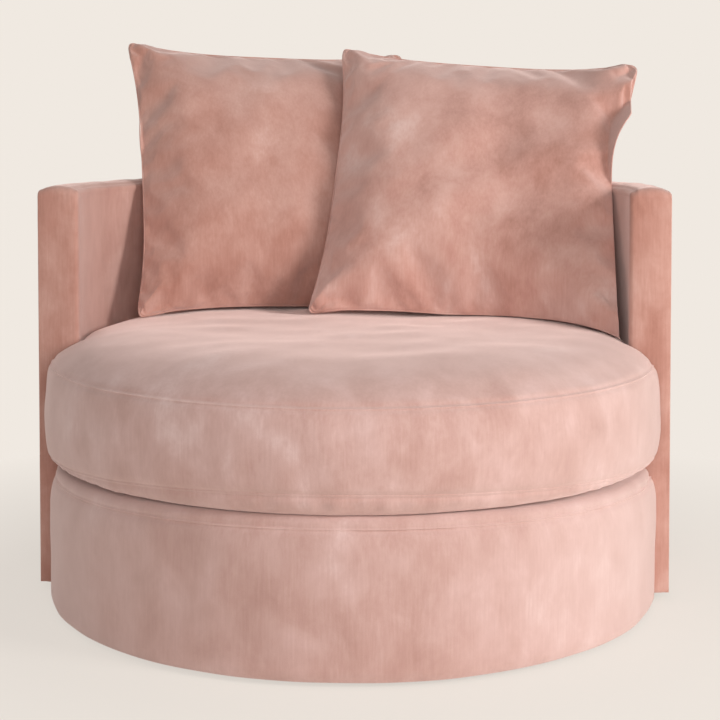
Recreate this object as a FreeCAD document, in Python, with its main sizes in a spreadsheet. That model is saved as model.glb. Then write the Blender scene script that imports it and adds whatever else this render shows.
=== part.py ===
# Round cuddle chair on a hidden swivel: a full round upholstered drum, a thick round seat
# cushion, a low curved tub of back and arms, and two large square scatter pillows.
# Millimetres. Origin on the swivel axis at the floor, front towards -Y, +Z up.
import FreeCAD, Part
import math
import os
import re
import Sketcher

doc = FreeCAD.newDocument("CuddleChair")

# Driving dimensions, each a plain number with its own name
SIZES = {
    # tub of back and arms
    "shell_radius": 600,
    "shell_wall": 78,
    "arm_rise": 497,
    "top_crown": 7,
    "edge_round": 10,
    "shell_floor_gap": 12,
    "arm_reach": 66,
    "back_foam": 25,
    "top_foam": 24,
    "wadding": 7,
    "lining_board": 3,
    "arm_board": 18,
    "strut_width": 40,
    "strut_count": 7,
    "strut_spread": 144,
    # cloth
    "velvet": 2,
    "under_cloth": 1,
    # round drum, whose front stands a step inside the tub's outer face
    "drum_step": 26,
    "drum_floor_gap": 8,
    "deck_height": 271,
    "border_rise": 19,
    "shoulder_rise": 47,
    "drum_seam_inset": 9,
    "border_inset": 29,
    "deck_turn_in": 82,
    "deck_padding": 35,
    "drum_foam": 18,
    "bent_ply": 6,
    "frame_ply": 18,
    "base_post": 40,
    "post_play": 1,
    "front_post_count": 5,
    "front_post_spread": 130,
    "seat_ring_width": 86,
    "strap_width": 60,
    "strap_thickness": 2,
    "strap_count": 7,
    "strap_hold": 30,
    # swivel
    "pad_radius": 20,
    "pad_thickness": 4,
    "pad_inset": 30,
    "pad_count": 8,
    "plinth_step": 116,
    "plinth_ply": 18,
    "race_radius": 150,
    "plate_reach": 40,
    "plate_thickness": 5,
    "race_gap": 2,
    "ball_radius": 3,
    "ball_count": 16,
    "ball_clearance": 0.05,
    "cage_clearance": 0.2,
    "cage_width": 14,
    "plate_screw_offset": 24,
    "plate_screw_count": 8,
    "screw_radius": 2.5,
    "screw_head_radius": 5,
    "screw_length": 16,
    # bolts between drum and tub
    "bolt_radius": 4,
    "bolt_head_radius": 9,
    "bolt_head_height": 5,
    "bolt_margin": 40,
    "bolt_grip": 34,
    # seat cushion
    "cushion_overhang": 9,
    "cushion_bulge": 11,
    "cushion_foot_rise": 27,
    "cushion_band": 148,
    "cushion_crown": 66,
    "cushion_side_play": 3,
    "cushion_wrap": 15,
    "rest_gap": 0.3,
    "zip_width": 12,
    "zip_ends": 0.6,
    # scatter pillows
    "pillow_side": 638,
    "pillow_depth": 176,
    "pillow_draw_in": 24,
    "ear_thickness": 8,
    "pillow_play": 0.6,
}

# Radii and levels that follow from them
LEVELS = {
    "tub_radius": "shell_radius - shell_wall",
    "board_inner": "tub_radius + velvet + back_foam",
    "strut_inner": "board_inner + lining_board",
    "strut_outer": "shell_radius - velvet - wadding - lining_board",
    "shell_top": "deck_height + arm_rise",
    "shell_top_ring": "shell_top - velvet - top_foam",
    "drum_radius": "shell_radius - drum_step",
    "drum_panel": "drum_radius - velvet - drum_foam",
    "front_frame": "drum_panel - bent_ply",
    "rear_frame": "tub_radius - bent_ply",
    "base_height": "deck_height - deck_padding",
    "drum_seam_height": "deck_height - border_rise",
    "drum_shoulder": "drum_seam_height - shoulder_rise",
    "deck_pad_bottom": "base_height + 2 * strap_thickness",
    "deck_cloth_radius": "tub_radius - deck_turn_in",
    "seat_hole_radius": "rear_frame - seat_ring_width",
    "strap_pitch": "2 * seat_hole_radius / (strap_count + 1)",
    "plinth_radius": "rear_frame - plinth_step",
    "plinth_top": "pad_thickness + plinth_ply",
    "pad_circle": "plinth_radius - pad_inset",
    "plate_inner": "race_radius - plate_reach",
    "plate_outer": "race_radius + plate_reach",
    "plate_screw_circle": "race_radius + plate_screw_offset",
    "race_depth": "sqrt(2) * (ball_radius + ball_clearance) - race_gap / 2",
    "upper_plate": "plinth_top + plate_thickness + race_gap",
    "panel_bottom": "upper_plate + plate_thickness",
    "panel_top": "panel_bottom + frame_ply",
    "bolt_low": "panel_top + bolt_margin",
    "bolt_high": "base_height - frame_ply - bolt_margin",
    "arm_front": "-arm_reach",
    "drum_end": "-arm_reach - velvet",
    "arm_board_front": "-arm_reach + velvet + wadding",
    "arm_board_back": "arm_board_front + arm_board",
    "seat_underside": "deck_height + rest_gap",
    "cushion_radius": "drum_radius + cushion_overhang",
    "cushion_lower_seam": "deck_height + cushion_foot_rise",
    "cushion_upper_seam": "cushion_lower_seam + cushion_band",
    "cushion_crest": "cushion_upper_seam + cushion_crown",
    "cushion_back": "tub_radius - cushion_side_play",
    "cushion_ear": "-arm_reach - cushion_side_play",
}

sheet = doc.addObject("Spreadsheet::Sheet", "Sizes")
for row, (alias, value) in enumerate(SIZES.items(), start=1):
    sheet.set(f"A{row}", alias)
    sheet.set(f"B{row}", str(value))
    sheet.setAlias(f"B{row}", alias)
levels = doc.addObject("Spreadsheet::Sheet", "Levels")


def rule(text, own_sheet=False):
    """A formula over the names above, with the sheet of each name put in front of it; a level
    that follows from another level names it plainly, because both are in one sheet."""
    def with_sheet(match):
        word = match.group(0)
        if word in SIZES:
            return "Sizes." + word
        return "Levels." + word if word in LEVELS and not own_sheet else word
    return re.sub(r"[a-z][a-z_0-9]*", with_sheet, text)


for row, (alias, formula) in enumerate(LEVELS.items(), start=1):
    levels.set(f"A{row}", alias)
    levels.set(f"B{row}", "=" + rule(formula, own_sheet=True))
    levels.setAlias(f"B{row}", alias)
doc.recompute()


def val(alias):
    """The present value of a named size or level, for shapes that are worked out here."""
    source = sheet if alias in SIZES else levels
    return float(source.get(alias))


def bind(obj, prop, text):
    """Ties one property of an object to the sheets."""
    obj.setExpression(prop, rule(text))


def place(obj, x="0", y="0", z="0"):
    """Ties the position of an object to the sheets."""
    bind(obj, "Placement.Base.x", x)
    bind(obj, "Placement.Base.y", y)
    bind(obj, "Placement.Base.z", z)
    return obj


def cylinder(name, radius, bottom, top, x="0", y="0"):
    obj = doc.addObject("Part::Cylinder", name)
    bind(obj, "Radius", radius)
    bind(obj, "Height", f"({top}) - ({bottom})")
    return place(obj, x, y, bottom)


def box(name, x_span, y_span, z_span):
    """A block from low to high along each axis."""
    obj = doc.addObject("Part::Box", name)
    for side, (low, high) in zip(("Length", "Width", "Height"), (x_span, y_span, z_span)):
        bind(obj, side, f"({high}) - ({low})")
    return place(obj, x_span[0], y_span[0], z_span[0])


def boolean(kind, name, base, tool):
    """kind is Cut or Common."""
    obj = doc.addObject("Part::" + kind, name)
    obj.Base = base
    obj.Tool = tool
    return obj


def join(name, base, tool):
    obj = boolean("Fuse", name, base, tool)
    obj.Refine = True
    return obj


def group(name, members):
    """Several separate solids in one node."""
    obj = doc.addObject("Part::Compound", name)
    obj.Links = members
    return obj


def ring(name, inner, outer, bottom, top):
    rim = cylinder(name + "_rim", outer, bottom, top)
    return boolean("Cut", name, rim, cylinder(name + "_hole", inner, bottom, top))


def slab(name, front, back):
    """All of the chair between two planes square to Y."""
    return box(name, ("-2 * shell_radius", "2 * shell_radius"), (front, back), ("-10", "2 * shell_top"))


def slice_of(name, solid, front, back):
    return boolean("Common", name, solid, slab(name + "_slab", front, back))


def tub_ring(name, inner, outer, bottom, top, front="arm_board_back"):
    """A ring of the tub that stops behind the arm fronts."""
    whole = ring(name + "_whole", inner, outer, bottom, top)
    return slice_of(name, whole, front, "2 * shell_radius")


def drum_plate(name, front_radius, rear_radius, bottom, top):
    """A round plate that steps in behind the arm fronts, to fit inside the tub."""
    front = slice_of(name + "_front", cylinder(name + "_wide", front_radius, bottom, top),
                     "-2 * shell_radius", "drum_end")
    return join(name, cylinder(name + "_narrow", rear_radius, bottom, top), front)


def polar(count, first=0.0, sweep=360.0):
    """Evenly spread angles in degrees; a full turn doesn't repeat its first angle."""
    steps = count if sweep >= 360 else count - 1
    return [first + sweep * i / steps for i in range(count)]


def at_angle(radius, angle):
    """x and y formulas of a point on a circle."""
    return f"({radius}) * cos({angle:.4f} deg)", f"({radius}) * sin({angle:.4f} deg)"


def turned(name, corners):
    """A body turned round the swivel axis from a closed outline of (radius, height) formulas."""
    body = doc.addObject("PartDesign::Body", name)
    sketch = body.newObject("Sketcher::SketchObject", name + "_outline")
    plane = next(f for f in body.Origin.OriginFeatures if f.Role == "XZ_Plane")
    sketch.AttachmentSupport = [(plane, "")]
    sketch.MapMode = "FlatFace"
    points = [FreeCAD.Vector(solve(r), solve(z), 0) for r, z in corners]
    for i, point in enumerate(points):
        sketch.addGeometry(Part.LineSegment(point, points[(i + 1) % len(points)]), False)
    for i in range(len(points)):
        sketch.addConstraint(Sketcher.Constraint("Coincident", i, 2, (i + 1) % len(points), 1))
    for i, (radius, height) in enumerate(corners):
        for kind, text, letter in (("DistanceX", radius, "r"), ("DistanceY", height, "z")):
            size = points[i].x if letter == "r" else points[i].y
            index = sketch.addConstraint(Sketcher.Constraint(kind, -1, 1, i, 1, size))
            sketch.renameConstraint(index, f"{letter}{i}")
            sketch.setExpression(f"Constraints.{letter}{i}", rule(text))
    spin = body.newObject("PartDesign::Revolution", name + "_turn")
    spin.Profile = sketch
    spin.ReferenceAxis = (sketch, ["V_Axis"])
    spin.Angle = 360
    body.Tip = spin
    return body


def solve(text):
    """The present value of a formula over the named sizes."""
    names = {word: val(word) for word in re.findall(r"[a-z][a-z_0-9]*", text)
             if word in SIZES or word in LEVELS}
    total = 0.0
    for sign, term in re.findall(r"([+-]?)\s*([a-z_0-9.* /]+)", text):
        product = 1.0
        for factor in term.split("*"):
            parts = [part.strip() for part in factor.split("/")]
            product *= names.get(parts[0], None) if parts[0] in names else float(parts[0])
            for part in parts[1:]:
                product /= names[part] if part in names else float(part)
        total += -product if sign == "-" else product
    return total


def feature(name, shape):
    """A piece whose curved form is worked out here from the sheet."""
    obj = doc.addObject("Part::Feature", name)
    obj.Shape = shape
    return obj


def point(radius, height):
    return FreeCAD.Vector(radius, 0, height)


def line(a, b):
    return Part.LineSegment(a, b).toShape()


def arc(a, through, b):
    return Part.Arc(a, through, b).toShape()


def spun(edges):
    """A full turn of a closed outline round the swivel axis."""
    face = Part.Face(Part.Wire(edges))
    solid = face.revolve(FreeCAD.Vector(0, 0, 0), FreeCAD.Vector(0, 0, 1), 360)
    if solid.Volume < 0:
        solid.reverse()
    return solid


# Glide pads and plinth
def floor_base():
    z_top = "pad_thickness"
    pads = [cylinder("pad_middle", "pad_radius", "0", z_top)]
    for i, angle in enumerate(polar(int(val("pad_count")), first=22.5)):
        x, y = at_angle("pad_circle", angle)
        pads.append(cylinder(f"pad_{i}", "pad_radius", "0", z_top, x, y))
    group("glide_pads", pads)
    screws = countersunk("plate_screw", "plinth_top + plate_thickness", "-1")
    group("plinth_screws", screws)
    plinth = cylinder("plinth_disc", "plinth_radius", "pad_thickness", "plinth_top")
    boolean("Cut", "plinth", plinth, group("plinth_holes", screws))
    top = "plinth_top + plate_thickness"
    plate = turned("lower_race", [
        ("plate_inner", "plinth_top"), ("plate_outer", "plinth_top"), ("plate_outer", top),
        ("race_radius + race_depth", top), ("race_radius", f"{top} - race_depth"),
        ("race_radius - race_depth", top), ("plate_inner", top)])
    boolean("Cut", "swivel_lower_plate", plate, group("lower_plate_holes", screws))


def countersunk(name, face, way):
    """Countersunk screws in a circle: heads flush with a face, shanks going up (1) or down (-1)."""
    screws = []
    depth = "(screw_head_radius - screw_radius)"
    for i, angle in enumerate(polar(int(val("plate_screw_count")), first=22.5)):
        x, y = at_angle("plate_screw_circle", angle)
        head = doc.addObject("Part::Cone", f"{name}_head_{i}")
        down = way == "-1"
        bind(head, "Radius1", "screw_radius" if down else "screw_head_radius")
        bind(head, "Radius2", "screw_head_radius" if down else "screw_radius")
        bind(head, "Height", depth)
        place(head, x, y, f"{face} - {depth}" if down else face)
        span = (f"{face} - screw_length", f"{face} - {depth}") if down else (
            f"{face} + {depth}", f"{face} + screw_length")
        shank = cylinder(f"{name}_shank_{i}", "screw_radius", span[0], span[1], x, y)
        screws.append(join(f"{name}_{i}", head, shank))
    return screws


# Balls in their cage, between the two race plates
def ball_ring():
    middle = "plinth_top + plate_thickness + race_gap / 2"
    balls, pockets = [], []
    low = "plinth_top + plate_thickness + cage_clearance"
    high = "upper_plate - cage_clearance"
    for i, angle in enumerate(polar(int(val("ball_count")))):
        x, y = at_angle("race_radius", angle)
        ball = doc.addObject("Part::Sphere", f"ball_{i}")
        bind(ball, "Radius", "ball_radius")
        balls.append(place(ball, x, y, middle))
        pockets.append(cylinder(f"pocket_{i}", "ball_radius + cage_clearance", low, high, x, y))
    group("bearing_balls", balls)
    blank = ring("cage_blank", "race_radius - cage_width / 2", "race_radius + cage_width / 2", low, high)
    boolean("Cut", "ball_cage", blank, group("cage_pockets", pockets))


# Upper race plate, screwed up into the bottom panel of the drum
def swivel_top():
    screws = countersunk("panel_screw", "upper_plate", "1")
    group("swivel_screws", screws)
    bottom = "upper_plate"
    plate = turned("upper_race", [
        ("plate_inner", bottom), ("race_radius - race_depth", bottom),
        ("race_radius", f"{bottom} + race_depth"), ("race_radius + race_depth", bottom),
        ("plate_outer", bottom), ("plate_outer", "panel_bottom"), ("plate_inner", "panel_bottom")])
    boolean("Cut", "swivel_upper_plate", plate, group("upper_plate_holes", screws))
    panel = drum_plate("panel_blank", "front_frame", "rear_frame", "panel_bottom", "panel_top")
    boolean("Cut", "base_bottom_panel", panel, group("panel_holes", screws))


# Timber frame of the drum
def rear_angles():
    """Posts and struts stand at the same angles round the back, so that bolts join them."""
    spread = val("strut_spread")
    return polar(int(val("strut_count")), first=90 - spread / 2, sweep=spread)


def upright(name, angle, inner, outer, width, bottom, top):
    """A square-cut post between two radii, facing the swivel axis."""
    post = doc.addObject("Part::Box", name)
    bind(post, "Length", f"({outer}) - ({inner})")
    bind(post, "Width", width)
    bind(post, "Height", f"({top}) - ({bottom})")
    turn = math.radians(angle)
    post.Placement.Rotation = FreeCAD.Rotation(FreeCAD.Vector(0, 0, 1), angle)
    place(post, f"({inner}) * {math.cos(turn):.6f} + ({width}) / 2 * {math.sin(turn):.6f}",
          f"({inner}) * {math.sin(turn):.6f} - ({width}) / 2 * {math.cos(turn):.6f}", bottom)
    return post


def radial_bolts():
    """Bolts from inside the drum, through post, rear panel and strut; two to each post."""
    bolts = []
    seat = "rear_frame - base_post - post_play"
    for i, angle in enumerate(rear_angles()):
        for level in ("bolt_low", "bolt_high"):
            name = f"bolt_{level[5:]}_{i}"
            parts = []
            for part, radius, inner, outer in (
                    ("head", "bolt_head_radius", f"{seat} - bolt_head_height", seat),
                    ("shank", "bolt_radius", seat, "tub_radius + bolt_grip")):
                rod = doc.addObject("Part::Cylinder", f"{name}_{part}")
                bind(rod, "Radius", radius)
                bind(rod, "Height", f"({outer}) - ({inner})")
                rod.Placement.Rotation = FreeCAD.Rotation(
                    FreeCAD.Vector(0, 0, 1), FreeCAD.Vector(
                        math.cos(math.radians(angle)), math.sin(math.radians(angle)), 0))
                x, y = at_angle(inner, angle)
                parts.append(place(rod, x, y, level))
            bolts.append(join(name, parts[0], parts[1]))
    return bolts


def drum_frame(bolts):
    ring_bottom = "base_height - frame_ply"
    top = drum_plate("top_blank", "front_frame", "rear_frame", ring_bottom, "base_height")
    boolean("Cut", "base_top_ring", top, cylinder("seat_hole", "seat_hole_radius", ring_bottom, "base_height"))
    # a post's corners stay inside the round panel, hence the play
    rear = [upright(f"rear_post_{i}", a, "rear_frame - base_post - post_play", "rear_frame - post_play",
                    "base_post", "panel_top", ring_bottom) for i, a in enumerate(rear_angles())]
    boolean("Cut", "base_rear_posts", group("rear_post_blanks", rear), group("rear_post_holes", bolts))
    spread = val("front_post_spread")
    angles = polar(int(val("front_post_count")), first=270 - spread / 2, sweep=spread)
    front = [upright(f"front_post_{i}", a, "front_frame - base_post - post_play",
                     "front_frame - post_play", "base_post", "panel_top", ring_bottom)
             for i, a in enumerate(angles)]
    group("base_front_posts", front)
    bent = ring("rear_panel_ring", "rear_frame", "tub_radius", "panel_bottom", "base_height")
    bent = slice_of("rear_panel_half", bent, "arm_board_back", "2 * shell_radius")
    boolean("Cut", "base_rear_panel", bent, group("rear_panel_holes", bolts))
    whole = ring("front_panel_ring", "front_frame", "drum_panel", "drum_floor_gap + velvet", "base_height")
    slice_of("base_front_panel", whole, "-2 * shell_radius", "drum_end")
    low = "panel_bottom - under_cloth"
    under_drum = drum_plate("cloth_drum", "front_frame", "rear_frame", low, "panel_bottom")
    under_tub = tub_ring("cloth_tub", "rear_frame", "strut_outer", low, "panel_bottom")
    hole = cylinder("cloth_hole", "plate_outer + strap_hold", low, "panel_bottom")
    boolean("Cut", "underside_cloth", join("cloth_blank", under_drum, under_tub), hole)


# Elastic webbing over the hole in the top ring
def webbing():
    count = int(val("strap_count"))
    for label, along_y in (("webbing_lengthwise", True), ("webbing_crosswise", False)):
        straps = []
        for i in range(count):
            shift = f"({i} - ({count} - 1) / 2) * strap_pitch"
            reach = f"sqrt((seat_hole_radius + strap_hold)^2 - ({shift})^2)"
            across = (f"{shift} - strap_width / 2", f"{shift} + strap_width / 2")
            along = (f"-{reach}", reach)
            bottom = "base_height" if along_y else "base_height + strap_thickness"
            spans = (across, along) if along_y else (along, across)
            straps.append(box(f"{label}_{i}", spans[0], spans[1], (bottom, f"{bottom} + strap_thickness")))
        group(label, straps)


def drum_outline(inset):
    """Outer line of the drum from its hem up to the seam, moved inwards by a cloth thickness."""
    side = val("drum_radius") - inset
    seam = point(val("drum_radius") - val("drum_seam_inset") - inset, val("drum_seam_height"))
    shoulder = point(side, val("drum_shoulder"))
    rise = seam.z - shoulder.z
    middle = point(side - (side - seam.x) * 0.3, shoulder.z + rise * 0.55)
    return shoulder, middle, seam


def border_outline(inset):
    """The rounded band above the seam, which turns in under the cushion."""
    seam = point(val("drum_radius") - val("drum_seam_inset") - inset, val("drum_seam_height"))
    edge = point(val("drum_radius") - val("border_inset") - inset, val("deck_height") - inset)
    middle = point(edge.x + (seam.x - edge.x) * 0.78, seam.z + (edge.z - seam.z) * 0.62)
    return seam, middle, edge


# Padding and velvet of the drum and its deck
def drum_upholstery():
    cloth = val("velvet")
    hem = val("drum_floor_gap")
    panel = val("drum_panel")
    side = val("drum_radius")
    shoulder, middle, seam = drum_outline(cloth)
    foam = spun([line(point(panel, hem + cloth), point(side - cloth, hem + cloth)),
                 line(point(side - cloth, hem + cloth), shoulder), arc(shoulder, middle, seam),
                 line(seam, point(panel, seam.z)), line(point(panel, seam.z), point(panel, hem + cloth))])
    slice_of("base_front_foam", feature("front_foam_ring", foam), "-2 * shell_radius", "drum_end")
    outer_shoulder, outer_middle, outer_seam = drum_outline(0)
    frame = val("front_frame")
    cover = spun([line(point(frame, hem), point(side, hem)), line(point(side, hem), outer_shoulder),
                  arc(outer_shoulder, outer_middle, outer_seam), line(outer_seam, seam),
                  arc(seam, middle, shoulder), line(shoulder, point(side - cloth, hem + cloth)),
                  line(point(side - cloth, hem + cloth), point(frame, hem + cloth)),
                  line(point(frame, hem + cloth), point(frame, hem))])
    slice_of("base_front_cover", feature("front_cover_ring", cover), "-2 * shell_radius", "drum_end")
    pad_seam, pad_middle, pad_edge = border_outline(cloth)
    low = val("deck_pad_bottom")
    pad = spun([line(point(0, low), point(panel, low)), line(point(panel, low), point(panel, pad_seam.z)),
                line(point(panel, pad_seam.z), pad_seam), arc(pad_seam, pad_middle, pad_edge),
                line(pad_edge, point(0, pad_edge.z)), line(point(0, pad_edge.z), point(0, low))])
    front = slice_of("deck_pad_front", feature("deck_pad_round", pad), "-2 * shell_radius", "drum_end")
    rear = cylinder("deck_pad_rear", "tub_radius - rest_gap", "deck_pad_bottom", "deck_height - velvet")
    join("deck_pad", rear, front)
    top_seam, top_middle, top_edge = border_outline(0)
    inner = val("deck_cloth_radius")
    band = spun([line(pad_seam, top_seam), arc(top_seam, top_middle, top_edge),
                 line(top_edge, point(inner, top_edge.z)), line(point(inner, top_edge.z), point(inner, pad_edge.z)),
                 line(point(inner, pad_edge.z), pad_edge), arc(pad_edge, pad_middle, pad_seam)])
    front = slice_of("border_front", feature("border_round", band), "-2 * shell_radius", "drum_end")
    rear = ring("border_rear", "deck_cloth_radius", "tub_radius - rest_gap", "deck_height - velvet", "deck_height")
    join("deck_border_cover", rear, front)
    cylinder("deck_cloth", "deck_cloth_radius", "deck_height - velvet", "deck_height")


# Plywood rings, struts and boards of the tub
def tub_frame(bolts):
    ring_bottom = "base_height - frame_ply"
    tub_ring("shell_bottom_ring", "tub_radius", "strut_outer", "panel_bottom", "panel_top")
    tub_ring("shell_seat_ring", "tub_radius", "strut_outer", ring_bottom, "base_height")
    tub_ring("shell_top_ring", "strut_inner", "strut_outer", "shell_top_ring - frame_ply", "shell_top_ring")
    lower = [upright(f"lower_strut_{i}", a, "tub_radius + post_play", "strut_outer - post_play",
                     "strut_width", "panel_top", ring_bottom) for i, a in enumerate(rear_angles())]
    boolean("Cut", "shell_lower_struts", group("lower_strut_blanks", lower), group("lower_strut_holes", bolts))
    upper = [upright(f"upper_strut_{i}", a, "strut_inner + post_play", "strut_outer - post_play",
                     "strut_width", "base_height", "shell_top_ring - frame_ply") for i, a in enumerate(rear_angles())]
    group("shell_upper_struts", upper)
    tub_ring("shell_inner_board", "board_inner", "strut_inner", "base_height", "shell_top_ring")
    tub_ring("shell_outer_board", "strut_outer", "strut_outer + lining_board",
             "shell_floor_gap + velvet", "shell_top_ring")
    fronts = ring("arm_board_ring", "tub_radius + velvet", "shell_radius - velvet",
                  "shell_floor_gap + velvet", "shell_top_ring")
    fronts = slice_of("arm_boards", fronts, "arm_board_front", "arm_board_back")
    for name, low, high in (("arm_front_board_left", "-2 * shell_radius", "0"),
                            ("arm_front_board_right", "0", "2 * shell_radius")):
        side = box(name + "_side", (low, high), ("-2 * arm_reach", "0"), ("0", "shell_top"))
        boolean("Common", name, fronts, side)


def wall_section(inset):
    """Closed section of the tub's wall: flat hem, straight sides, rolled edges and a low crown."""
    low = val("shell_floor_gap") + inset
    inner = val("tub_radius") + inset
    outer = val("shell_radius") - inset
    roll = val("edge_round") - inset / 2
    top = val("shell_top") - inset
    near = roll * (1 - math.sqrt(0.5))
    crest = point((inner + outer) / 2, top + val("top_crown"))
    a, b = point(inner, low), point(outer, low)
    c, d = point(outer, top - roll), point(outer - roll, top)
    e, f = point(inner + roll, top), point(inner, top - roll)
    return [line(a, b), line(b, c), arc(c, point(outer - near, top - near), d), arc(d, crest, e),
            arc(e, point(inner + near, top - near), f), line(f, a)]


# Padding and velvet of the tub
def tub_upholstery():
    top = "shell_top_ring"
    tub_ring("shell_inner_foam", "tub_radius + velvet", "board_inner", "base_height", top)
    tub_ring("shell_outer_wadding", "strut_outer + lining_board", "shell_radius - velvet",
             "shell_floor_gap + velvet", top)
    full = feature("wall_round", spun(wall_section(0)))
    core = feature("wall_core", spun(wall_section(val("velvet"))))
    above = box("wall_above", ("-2 * shell_radius", "2 * shell_radius"),
                ("arm_board_front", "2 * shell_radius"), (top, "2 * shell_top"))
    boolean("Common", "shell_top_pad", core, above)
    pad = slice_of("arm_pad_both", core, "arm_front + velvet", "arm_board_front")
    boolean("Common", "arm_front_pads", pad, slab("arm_pad_slab", "-2 * arm_reach", "0"))
    seam = "shell_top - edge_round"
    tub_ring("shell_inner_cover", "tub_radius", "tub_radius + velvet", "base_height", seam, "arm_front + velvet")
    tub_ring("shell_outer_cover", "shell_radius - velvet", "shell_radius", "shell_floor_gap", seam,
             "arm_front + velvet")
    skin = boolean("Cut", "wall_skin", full, core)
    cap = box("strip_zone", ("-2 * shell_radius", "2 * shell_radius"),
              ("arm_front + velvet", "2 * shell_radius"), (seam, "2 * shell_top"))
    band = boolean("Common", "strip_top", skin, cap)
    faces = slice_of("strip_fronts", full, "arm_front", "arm_front + velvet")
    join("shell_border_strip", band, faces)


def cushion_section(inset):
    """Section of the round cushion: flat underside, side band bulging between two drawn-in seams,
    a steep shoulder and a low crown."""
    bottom = val("seat_underside") + inset
    bulge = val("cushion_radius") - inset
    seam_radius = bulge - val("cushion_bulge")
    low, high = val("cushion_lower_seam"), val("cushion_upper_seam")
    crest = val("cushion_crest") - inset
    rise = crest - high
    foot = point(val("drum_radius") - val("border_inset") - inset, bottom)
    lower, upper = point(seam_radius, low), point(seam_radius - 1, high)
    under = point(foot.x + (lower.x - foot.x) * 0.72, bottom + (low - bottom) * 0.4)
    shoulder = point(seam_radius * 0.875, high + rise * 0.58)
    turn = point(seam_radius * 0.958, high + rise * 0.31)
    # the crown is part of a sphere centred on the swivel axis
    ball = (shoulder.x ** 2 + (crest - shoulder.z) ** 2) / (2 * (crest - shoulder.z))
    near = shoulder.x / 2
    middle = point(near, crest - ball + math.sqrt(ball ** 2 - near ** 2))
    axis_top, axis_low = point(0, crest), point(0, bottom)
    return [line(axis_low, foot), arc(foot, under, lower),
            arc(lower, point(bulge, (low + high) / 2), upper),
            arc(upper, turn, shoulder), arc(shoulder, middle, axis_top), line(axis_top, axis_low)]


def inside_tub(shape, inset):
    """Trims a round cushion to step in behind the arm fronts."""
    back = val("cushion_back") - inset
    ear = val("cushion_ear") - inset
    wide = 2 * val("shell_radius")
    rear = Part.makeCylinder(back, val("shell_top"))
    front = Part.makeBox(2 * wide, wide, val("shell_top"), FreeCAD.Vector(-wide, ear - wide, 0))
    return shape.common(rear.fuse(front).removeSplitter())


# Loose seat cushion: velvet case, fibre wrap, foam core and a closed zip at the back
def seat_cushion():
    cloth, wrap = val("velvet"), val("velvet") + val("cushion_wrap")
    case = inside_tub(spun(cushion_section(0)), 0)
    fill = inside_tub(spun(cushion_section(cloth)), cloth)
    core = inside_tub(spun(cushion_section(wrap)), wrap)
    feature("seat_cushion_cover", case.cut(fill))
    feature("seat_cushion_wrap", fill.cut(core))
    feature("seat_cushion_core", core)
    middle = "(cushion_lower_seam + cushion_upper_seam) / 2"
    zip_ring = ring("zip_ring", "cushion_back + rest_gap", "cushion_back + rest_gap + velvet / 2",
                    f"{middle} - zip_width / 2", f"{middle} + zip_width / 2")
    slice_of("seat_cushion_zip", zip_ring, "cushion_back * zip_ends", "2 * shell_radius")
    return case


def pillow_fill(inset, bend_left, bend_right):
    """A square knife-edge pillow about its own centre: lens sections from side to side, tall at
    the ears, drawn in between them, bent forwards at the sides to lie in the curve of the tub."""
    reach = val("pillow_side") / 2
    half = reach - inset
    thick = val("pillow_depth") / 2 - inset
    rim = (val("ear_thickness") - inset) / 2
    pull = val("pillow_draw_in")
    sections = []
    for share in (-1, -0.93, -0.82, -0.6, -0.3, 0, 0.3, 0.6, 0.82, 0.93, 1):
        x = share * half
        tall = half - pull * (1 - share ** 2)
        fullness = max(0.0, 1 - (abs(share) / 0.95) ** 2.4) ** 0.62
        depth = rim + (thick - rim) * fullness
        ahead = (bend_left if share < 0 else bend_right) * (x / reach) ** 2
        tip, foot = FreeCAD.Vector(x, -ahead, tall), FreeCAD.Vector(x, -ahead, -tall)
        front, back = FreeCAD.Vector(x, -ahead - depth, 0), FreeCAD.Vector(x, -ahead + depth, 0)
        sections.append(Part.Wire([arc(foot, front, tip), arc(tip, back, foot)]))
    solid = Part.makeLoft(sections, True, False)
    radius = (half ** 2 + pull ** 2) / (2 * pull)
    for side in (-1, 1):
        centre = FreeCAD.Vector(side * (half + radius - pull), -half, 0)
        solid = solid.cut(Part.makeCylinder(radius, 2 * half, centre, FreeCAD.Vector(0, 1, 0)))
    return solid


def leaning(shape, centre, yaw, tilt, roll):
    """Stands a pillow in the tub: rolled in its own plane, tipped back, then turned."""
    turn = FreeCAD.Rotation(FreeCAD.Vector(0, 0, 1), yaw)
    turn = turn.multiply(FreeCAD.Rotation(FreeCAD.Vector(1, 0, 0), -tilt))
    turn = turn.multiply(FreeCAD.Rotation(FreeCAD.Vector(0, 1, 0), roll))
    return shape.transformed(FreeCAD.Placement(FreeCAD.Vector(*centre), turn).toMatrix())


def clear_of_chair(shape, cushion, play):
    """Flattens a pillow where it presses on the tub and on the cushion, and still lifts out."""
    top = val("shell_top") + val("top_crown") + play
    tub = Part.makeCylinder(3 * val("shell_radius"), top).cut(
        Part.makeCylinder(val("tub_radius") - play, top))
    return shape.cut(tub).cut(cushion.translated(FreeCAD.Vector(0, 0, play)))


def largest(shape):
    """The main solid, without crumbs of a cut."""
    return max(shape.Solids, key=lambda solid: solid.Volume)


# Where each pillow's centre lies: to the right, in from the tub's wall at the back, and how far
# its foot sinks below the seat's crest; then turn about Z, tilt back and roll in degrees, and how
# far the curve of the tub bends its left and its right side forwards
PILLOWS = {
    "left": ((-188, 164.5, 21.5), 19.5, 26.5, 2.0, 40, 0),
    "right": ((236, 258, 25.3), 0.5, 30.0, 4.6, 0, 110),
}


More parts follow.
